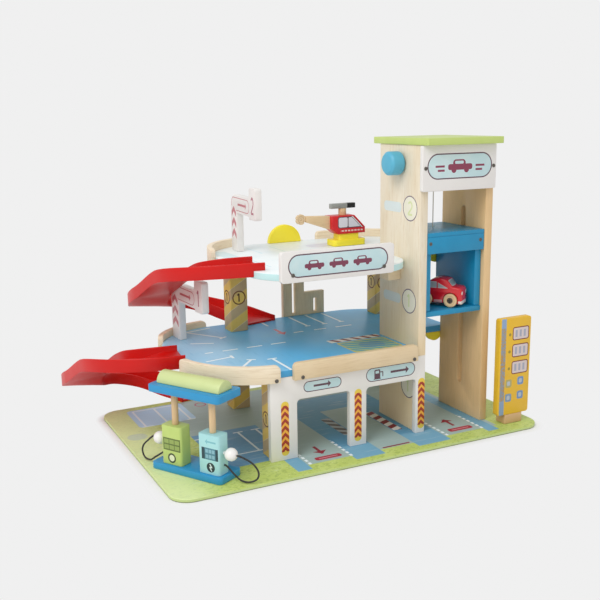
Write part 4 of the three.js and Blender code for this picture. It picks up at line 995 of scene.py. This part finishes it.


# Lift string: off-white twisted cord, wound five times round the shaft, that drops through the
# lift's roof to a knot; the knot moves with the lift and the string is one fixed piece.
string_radius = 0.75
string_turns = 5
string_pitch = 2.3
string_stand_off = 7.05
string_sides = 10
points_per_turn = 24
drop_steps = 14
knot_radius = 2.6
knot_gap = 0.3
knot_steps = 60
knot_sides = 8
knot_spread = 0.55
knot_rise = 0.75
strand_pitch = 1.1
strand_lean = 1.4
strand_groove_shade = (0.55, 0.95)
shaft_low, shaft_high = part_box("winding_shaft")
roof_low, roof_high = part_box("lift_roof")
shaft_y = (shaft_low[1] + shaft_high[1]) / 2 / mm
shaft_z = (shaft_low[2] + shaft_high[2]) / 2 / mm
drop_x = (roof_low[0] + roof_high[0]) / 2 / mm
drop_foot = roof_low[2] / mm - knot_gap - knot_radius
string_route = []
for k in range(string_turns * points_per_turn + 1):
    turns_left = string_turns - k / points_per_turn
    angle = 2 * math.pi * turns_left
    string_route.append(Vector((
        drop_x - string_pitch * turns_left,
        shaft_y + string_stand_off * math.cos(angle),
        shaft_z + string_stand_off * math.sin(angle),
    )) * mm)
for k in range(1, drop_steps + 1):
    height = shaft_z + (drop_foot - shaft_z) * k / drop_steps
    string_route.append(Vector((drop_x, shaft_y + string_stand_off, height)) * mm)


def tube_mesh(name, route, radius, sides, closed=False):
    """A closed tube of even thickness along a route."""
    shape = bmesh.new()
    rings = []
    across = None
    for k, place in enumerate(route):
        before = route[k - 1] if k or closed else route[0]
        after = route[(k + 1) % len(route)] if closed else route[min(k + 1, len(route) - 1)]
        along = (after - before).normalized()
        across = across or along.orthogonal()
        across = (across - along * across.dot(along)).normalized()
        other = along.cross(across)
        turns = [2 * math.pi * s / sides for s in range(sides)]
        rings.append([
            shape.verts.new(place + (across * math.cos(t) + other * math.sin(t)) * radius)
            for t in turns
        ])
    following = rings[1:] + ([rings[0]] if closed else [])
    for ring, next_ring in zip(rings, following):
        for s in range(sides):
            beside = (s + 1) % sides
            shape.faces.new((ring[s], ring[beside], next_ring[beside], next_ring[s]))
    if not closed:
        shape.faces.new(list(reversed(rings[0])))
        shape.faces.new(rings[-1])
    for face in shape.faces:
        face.smooth = len(face.verts) == 4
    mesh = bpy.data.meshes.new(name)
    shape.to_mesh(mesh)
    shape.free()
    return mesh


def string_finish():
    finish = Finish("string_cotton", "#E9E4D6", 0.85)
    along = finish.z + (finish.x + finish.y) * strand_lean
    strand = (along % strand_pitch) / strand_pitch
    # Painted shade: a darker band runs along each groove of the twisted cord.
    finish.cover(strand.over(*strand_groove_shade) * 0.4, "#C9C2B0")
    return finish.done(height=strand, depth=0.08)


string_cotton = string_finish()
lift_string = bpy.data.objects.new("lift_cotton_string", tube_mesh(
    "lift_cotton_string", string_route, string_radius * mm, string_sides,
))
lift_string.data.materials.append(string_cotton)
bpy.context.scene.collection.objects.link(lift_string)
knot_route = []
for k in range(knot_steps):
    t = 2 * math.pi * k / knot_steps
    knot_route.append(Vector((
        drop_x + knot_spread * (math.sin(t) + 2 * math.sin(2 * t)),
        shaft_y + string_stand_off + knot_spread * (math.cos(t) - 2 * math.cos(2 * t)),
        drop_foot - knot_rise * math.sin(3 * t),
    )) * mm)
string_knot = bpy.data.objects.new("lift_string_knot", tube_mesh(
    "lift_string_knot", knot_route, string_radius * mm, knot_sides, closed=True,
))
string_knot.data.materials.append(string_cotton)
bpy.context.scene.collection.objects.link(string_knot)
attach(string_knot, "lift_car")
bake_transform(lift_string)
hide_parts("lift_string")


# Screws: round headed steel screws with a cross recess, driven into the front boards and the
# lift's header; one head is modelled and copied to its places.
screw_radius = 2.8
screw_rise = 1.1
screw_dome = 0.7 * mm
recess = (3.4 * mm, 0.8 * mm, 1.1 * mm)
flat_head = 0.35
rail_screw_height = 126
rail_curve_centre = (-115, -20.2)
rail_curve_radius = 123.2
rail_screw_turn = math.radians(-8.2)
# Each row: its name and body, the board it holds, its height, its places across the board,
# and how flat its heads are.
screw_rows = [
    ("rail_screws", "garage", "level_1_front_right_rail", rail_screw_height, (-93, 92), 1),
    ("tower_sign_screws", "garage", "tower_sign_board", 404.5, (107, 228), 1),
    ("deck_sign_screws", "garage", "level_2_sign_board", 270.5, (-106, 38), 1),
    ("lift_screws", "lift_car", "lift_front_frame", 294, (124, 214.5), flat_head),
]


def screw_head():
    """One head, facing -Y, with its seat at the origin."""
    bpy.ops.object.select_all(action="DESELECT")
    bpy.ops.mesh.primitive_cylinder_add(vertices=20, radius=screw_radius * mm, depth=screw_rise * mm,
                                        location=(0, 0, screw_rise * mm / 2))
    head = bpy.context.active_object
    bevel = head.modifiers.new("dome", "BEVEL")
    bevel.width = screw_dome
    bevel.segments = 3
    bpy.ops.object.modifier_apply(modifier=bevel.name)
    for turned in (0, 90):
        bpy.ops.object.select_all(action="DESELECT")
        bpy.ops.mesh.primitive_cube_add(size=1, location=(0, 0, screw_rise * mm),
                                        rotation=(0, 0, math.radians(turned)))
        slot_tool = bpy.context.active_object
        slot_tool.scale = recess
        bpy.context.view_layer.objects.active = head
        cross = head.modifiers.new("recess", "BOOLEAN")
        cross.object = slot_tool
        cross.operation = "DIFFERENCE"
        bpy.ops.object.modifier_apply(modifier=cross.name)
        bpy.data.objects.remove(slot_tool)
    head.data.transform(Matrix.Translation(head.location))
    head.location = (0, 0, 0)
    head.data.transform(Matrix.Rotation(math.radians(90), 4, "X"))
    return head


def screw_finish():
    finish = Finish("screw_steel", "#6E6962", 0.42, {"Metallic": 0.6})
    finish.cover(finish.noise(1.5, 2).over(0.5, 0.8) * 0.5, "#3F3B37")
    return finish.done(height=finish.noise(0.6), depth=0.02)


def screws(name, body, places, pattern, flatness=1, turn=0):
    """Copies of the head at its places, flatter or turned about the vertical where asked."""
    bpy.ops.object.select_all(action="DESELECT")
    heads = []
    for x, y, z in places:
        head = bpy.data.objects.new(name, pattern.data.copy())
        head.data.transform(Matrix.Rotation(turn, 4, "Z") @ Matrix.Diagonal((1, flatness, 1, 1)))
        head.data.transform(Matrix.Translation(Vector((x, y, z)) * mm))
        bpy.context.scene.collection.objects.link(head)
        head.select_set(True)
        heads.append(head)
    bpy.context.view_layer.objects.active = heads[0]
    bpy.ops.object.join()
    bpy.ops.object.shade_smooth_by_angle(angle=smooth_within)
    heads[0].select_set(False)
    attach(heads[0], body)


first_head = screw_head()
first_head.data.materials.append(screw_finish())
for name, body, board, height, places, flatness in screw_rows:
    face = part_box(board)[0][1] / mm
    screws(name, body, [(x, face, height) for x in places], first_head, flatness)
curved_rail_place = (
    rail_curve_centre[0] + rail_curve_radius * math.sin(rail_screw_turn),
    rail_curve_centre[1] - rail_curve_radius * math.cos(rail_screw_turn),
    rail_screw_height,
)
screws("curved_rail_screw", "garage", [curved_rail_place], first_head, turn=rail_screw_turn)
bpy.data.objects.remove(first_head)


# Toy car: a red lacquered body with grey painted windows and turned wooden wheels on axles.
car_middle = (173, -96)
car_heading = math.radians(-53)
car_floor = 191.3
front_axle = 18
rear_axle = -21
axle_rise = 10.5
body_ease = 0.3 * mm
wheel_ease = 0.2 * mm


def on_car(finish):
    """The place on the car: s towards its nose, w to its left, z above the floor."""
    dx, dy = finish.x - car_middle[0], finish.y - car_middle[1]
    s = dx * math.cos(car_heading) + dy * math.sin(car_heading)
    w = dx * -math.sin(car_heading) + dy * math.cos(car_heading)
    return s, w, finish.z - car_floor


car_side = 11.5
window_foot = 28.5
window_ends = (-14, 13.5)
pane_foot = 30
pane_ends = (-12.5, 11)
window_frame = 1.3
pillar_place = -3
pillar_half = 0.8
glass_top = 38.5
roof_falls_from = -5
roof_fall = 0.5
windscreen = (-11, 11, 32, 40.5, 2.5)
windscreen_from = 11.5
rear_screen = (-10.5, 10.5, 32, 39.5, 2.5)
rear_screen_to = -15
screen_frame = 1.2
flash_band = (6, 10.5)
flash_ends = (-8, 5)
bumper_from = 30.5
bumper_top = 10
headlamp = (10, 22)
headlamp_radius = 2.8
headlamp_from = 33
roof_badge = (-7, 0)
roof_badge_radii = ((7, "#E4A39C"), (5.5, "#D98D88"))
roof_from = 40
hub_radius = 4.6
spoke_half_width = 0.9
spoke_reach = 3.8


def car_finish():
    finish = Finish("car_lacquer", "#D4121E", 0.25, {"Coat Weight": 0.4, "Coat Roughness": 0.12})
    finish.cloud(30, "#BE0F19", 0.35)
    s, w, z = on_car(finish)
    side = abs(w) > car_side
    roof_line = glass_top - ((s - roof_falls_from) | 0) * roof_fall
    window = (z > window_foot) & (z < roof_line) & s.within(*window_ends) & side
    pane = (z > pane_foot) & (z < roof_line - window_frame) & s.within(*pane_ends)
    finish.cover(window, "#B9B3AE")
    finish.cover(window & pane, "#9FA09E")
    finish.cover((abs(s - pillar_place) < pillar_half) & window, "#C4161F")
    for glass, over in ((windscreen, s > windscreen_from), (rear_screen, s < rear_screen_to)):
        edge = plate(w, z, *glass)
        finish.cover((edge < 0) & over, "#C8C2BC")
        finish.cover((edge < -screen_frame) & over, "#93A09C")
    finish.cover(z.within(*flash_band) & s.within(*flash_ends) & side, "#D89A94")
    finish.cover((z < bumper_top) & (s > bumper_from), "#E3D8CF")
    lamp = distance_to(abs(w), z, headlamp)
    finish.cover((lamp < headlamp_radius) & (s > headlamp_from), "#EDE9DD")
    badge = distance_to(s, w, roof_badge)
    for radius, tint in roof_badge_radii:
        finish.cover((badge < radius) & (z > roof_from), tint)
    return finish.done(height=finish.noise(2), depth=0.02)


def wheel_finish(name, axle):
    finish = wood_finish(name, "xy", "#E3C69A", "#CFA873")
    s, w, z = on_car(finish)
    hub = distance_to(s, z, (axle, axle_rise))
    finish.cover(hub < hub_radius, "#57483A")
    spokes = (abs(s - axle) < spoke_half_width) | (abs(z - axle_rise) < spoke_half_width)
    finish.cover(spokes & (hub < spoke_reach), "#2A241F")
    return wood_done(finish)


eased("car_body", car_finish(), body_ease, body="toy_car")
for end_name, axle in (("front", front_axle), ("rear", rear_axle)):
    eased(f"car_{end_name}_wheel_set", wheel_finish(f"{end_name}_wheel_wood", axle), wheel_ease,
          body=f"car_{end_name}_wheels")


# Pump station: a blue base and canopy, two printed pump blocks on dowel posts, a lime half
# round on top, and a white ball nozzle on each pump.
station_paint = painted("station_paint", "#2A93C6", "#2488BB")
for board in ("station_base", "station_canopy"):
    eased(board, station_paint, body="pump_station")
hump_paint = painted("hump_paint", "#CBD796", "#C1CF87")
eased("station_canopy_hump", hump_paint, body="pump_station")
ball_lacquer = painted("ball_lacquer", "#F0EDE9", "#E4E0DC", 0.3)


def on_station(finish):
    """The place on the station: u along its base, v forwards, z above the base board."""
    dx, dy = finish.x - station_place.x / mm, finish.y - station_place.y / mm
    u = dx * math.cos(station_angle) + dy * math.sin(station_angle)
    v = dy * math.cos(station_angle) - dx * math.sin(station_angle)
    return u, v, finish.z - station_place.z / mm


pump_front = pump_y + 10.4
green_display = (11, 41, 30, 48)
green_cells = [(c, c + 8, h, h + 6) for c in (12.8, 22, 31.2) for h in (32, 40)]
green_badge = (26.5, 19.5)
green_badge_radii = ((7, "#3E4A26"), (4.6, "#E6E9C4"))
turquoise_display = (-54, -26, 30.5, 47)
turquoise_screen = (-49, -31, 30.5, 47)
turquoise_cells = [(c, c + 4.4, h, h + 5) for c in (-47.6, -42.2, -36.8) for h in (32.5, 40)]
turquoise_badge = (-40.5, 20)
turquoise_badge_radius = 6.8
bolt_reach = 6
bolt_width = 1.6
bolt_lines = [((-39, 25), (-42.5, 19.6)), ((-42.5, 20.2), (-38.5, 20.2)), ((-38.5, 20.4), (-42, 15))]
turquoise_arrow = (-50, -32, 55.5, 2.4)


def green_pump_finish():
    finish = Finish("green_pump_print", "#BFD277", 0.4)
    finish.cloud(24, "#B2C86A")
    u, v, z = on_station(finish)
    front = v > pump_front
    finish.cover(boxes(u, z, [green_display]) & front, "#5F7033")
    finish.cover(boxes(u, z, green_cells) & front, "#93A757")
    badge = distance_to(u, z, green_badge)
    for radius, tint in green_badge_radii:
        finish.cover((badge < radius) & front, tint)
    return finish.done(height=finish.noise(1.6), depth=0.04)


def turquoise_pump_finish():
    finish = Finish("turquoise_pump_print", "#A9DADB", 0.4)
    finish.cloud(24, "#9BD0D3")
    u, v, z = on_station(finish)
    front = v > pump_front
    finish.cover(boxes(u, z, [turquoise_display]) & front, "#27424B")
    finish.cover(boxes(u, z, [turquoise_screen]) & front, "#4E8393")
    finish.cover(boxes(u, z, turquoise_cells) & front, "#86B4C2")
    badge = distance_to(u, z, turquoise_badge)
    finish.cover((badge < turquoise_badge_radius) & front, "#23323A")
    bolt = strokes(u, z, bolt_lines, bolt_width) & (badge < bolt_reach)
    finish.cover(bolt & front, "#DDEDEC")
    finish.cover(arrow_mark(u, z, *turquoise_arrow) & front, "#7FBCC4")
    return finish.done(height=finish.noise(1.6), depth=0.04)


eased("green_pump", green_pump_finish(), body="pump_station")
eased("turquoise_pump", turquoise_pump_finish(), body="pump_station")
wood_post = wood_done(wood_finish("wood_post", "z", "#E0BF94", "#CDA474"))
for side_name in ("green", "turquoise"):
    eased(f"{side_name}_pump_post", wood_post, peg_ease, body="pump_station")
    eased(f"{side_name}_pump_nozzle", ball_lacquer, 0, body="pump_station")


# Price board: a thick yellow board on a wooden foot, printed with a speckled slate strip, three
# displays and four blue marks.
strip_from_left = (3, 12)
strip_speckled = (44, 160)
display_feet = (139, 112, 85)
display_sides = (24.5, 56.5)
display_height = 21
display_frame = 1.6
display_corner = 4
speckle_from = 0.55
figure_places = (30, 38, 46)
figure_width = 4
figure_span = (5, 16)
button_place = (19.5, 10)
button_radius = 2.4
mark_places = [(20, 71, "#B3A96A"), (43, 73, "#6F90BE"), (20, 48, "#7E98B4"), (43, 50, "#6F90BE")]
mark_half = (6, 6.5, 3)
mark_core_half = (3, 3.5, 2)


def totem_finish():
    finish = Finish("totem_print", "#E9BA2B", 0.4)
    finish.cloud(24, "#E0AE22")
    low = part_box("totem_board")[0]
    u, z = finish.x - low[0] / mm, finish.z
    front = finish.y < low[1] / mm + print_depth
    strip = u.within(*strip_from_left) & front
    finish.cover(strip, "#8E96A0")
    finish.cover(strip & (finish.noise(2, 1) > speckle_from), "#B98F4A")
    finish.cover(strip & ((z < strip_speckled[0]) | (z > strip_speckled[1])), "#8BA3C4")
    for foot in display_feet:
        edge = plate(u, z, *display_sides, foot, foot + display_height, display_corner)
        finish.cover((edge < 0) & front, "#7A3226")
        finish.cover((edge < -display_frame) & front, "#D8C9C6")
        span = [foot + height for height in figure_span]
        figures = boxes(u, z, [(c, c + figure_width, *span) for c in figure_places])
        finish.cover(figures & front, "#A7A9B8")
        button = distance_to(u, z, (button_place[0], foot + button_place[1]))
        finish.cover((button < button_radius) & front, "#A08A2E")
    for along, height, tint in mark_places:
        for (wide, tall, corner), colour in ((mark_half, tint), (mark_core_half, "#B7BFC8")):
            edge = plate(u, z, along - wide, along + wide, height - tall, height + tall, corner)
            finish.cover((edge < 0) & front, colour)
    return finish.done(height=finish.noise(1.6), depth=0.04)


eased("totem_board", totem_finish(), body="price_board")
wood_foot = wood_done(wood_finish("wood_foot", "x", "#D7B184", "#C09463"))
eased("totem_foot", wood_foot, body="price_board")


# Helicopter: a red printed cabin on a yellow pontoon block, with a bare wooden boom, mast and
# tail disc and a grey and black painted rotor bar.
cabin_side = 11.5
window_outline = (11, 66, 9.5, 28.5, 4)
outline_slope = 68.5
rear_pane = (12.5, 29.5, 11, 27, 3)
front_pane = (31, 66, 11, 27, 2)
pane_slope = 64.5
slope_line = (65.6, 67.6)
side_bars = (16, 58, 4, 6.4)
bar_pitch = 6
bar_length = 4.2
rotor_black_end = 16
rotor_ease = 0.5 * mm
tail_pin_radius = 1.2
tail_groove_shade = (4.6, 5.4)


def cabin_finish():
    finish = Finish("cabin_print", "#D4131D", 0.35)
    finish.cloud(20, "#C11019")
    low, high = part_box("helicopter_cabin")
    u = finish.x - low[0] / mm
    v = finish.z - low[2] / mm
    side = abs(finish.y - (low[1] + high[1]) / 2 / mm) > cabin_side
    outline = (plate(u, v, *window_outline) < 0) & (u + v < outline_slope) & side
    finish.cover(outline, "#5F4852")
    panes = (plate(u, v, *rear_pane) < 0) | ((plate(u, v, *front_pane) < 0) & (u + v < pane_slope))
    finish.cover(panes & side, "#DAD8E0")
    finish.cover((u + v).within(*slope_line) & outline, "#E9E4E6")
    finish.cover(boxes(u, v, [side_bars]) & ((u % bar_pitch) < bar_length) & side, "#EBC9C6")
    return finish.done(height=finish.noise(1.6), depth=0.04)


def rotor_finish():
    finish = Finish("rotor_paint", "#9B9D99", 0.4)
    finish.cloud(12, "#868884", 0.5)
    finish.cover(finish.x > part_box("main_rotor")[1][0] / mm - rotor_black_end, "#222222")
    return finish.done(height=finish.noise(1.2), depth=0.04)


def tail_finish():
    finish = wood_finish("tail_wood", "xy", "#E8D0AC", "#D3B184")
    low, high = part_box("tail_rotor")
    centre = ((low[0] + high[0]) / 2 / mm, (low[2] + high[2]) / 2 / mm)
    spot = distance_to(finish.x, finish.z, centre)
    finish.cover(spot < tail_pin_radius, "#4A3A2C")
    # Painted shade: the ring round the pin is darkened as the shade of a groove.
    finish.cover(spot.within(*tail_groove_shade) * 0.6, "#A98357")
    return wood_done(finish)


wood_boom = wood_done(wood_finish("wood_boom", "x", "#E6CBA2", "#D4B283"))
eased("helicopter_pontoon", yellow_paint, body="helicopter")
eased("helicopter_cabin", cabin_finish(), 0, body="helicopter")
eased("helicopter_boom", wood_boom, rotor_ease, body="helicopter")
eased("helicopter_mast", wood_post, peg_ease, body="helicopter")
eased("tail_rotor", tail_finish(), peg_ease, body="helicopter_tail_rotor")
eased("main_rotor", rotor_finish(), rotor_ease, body="helicopter_main_rotor")
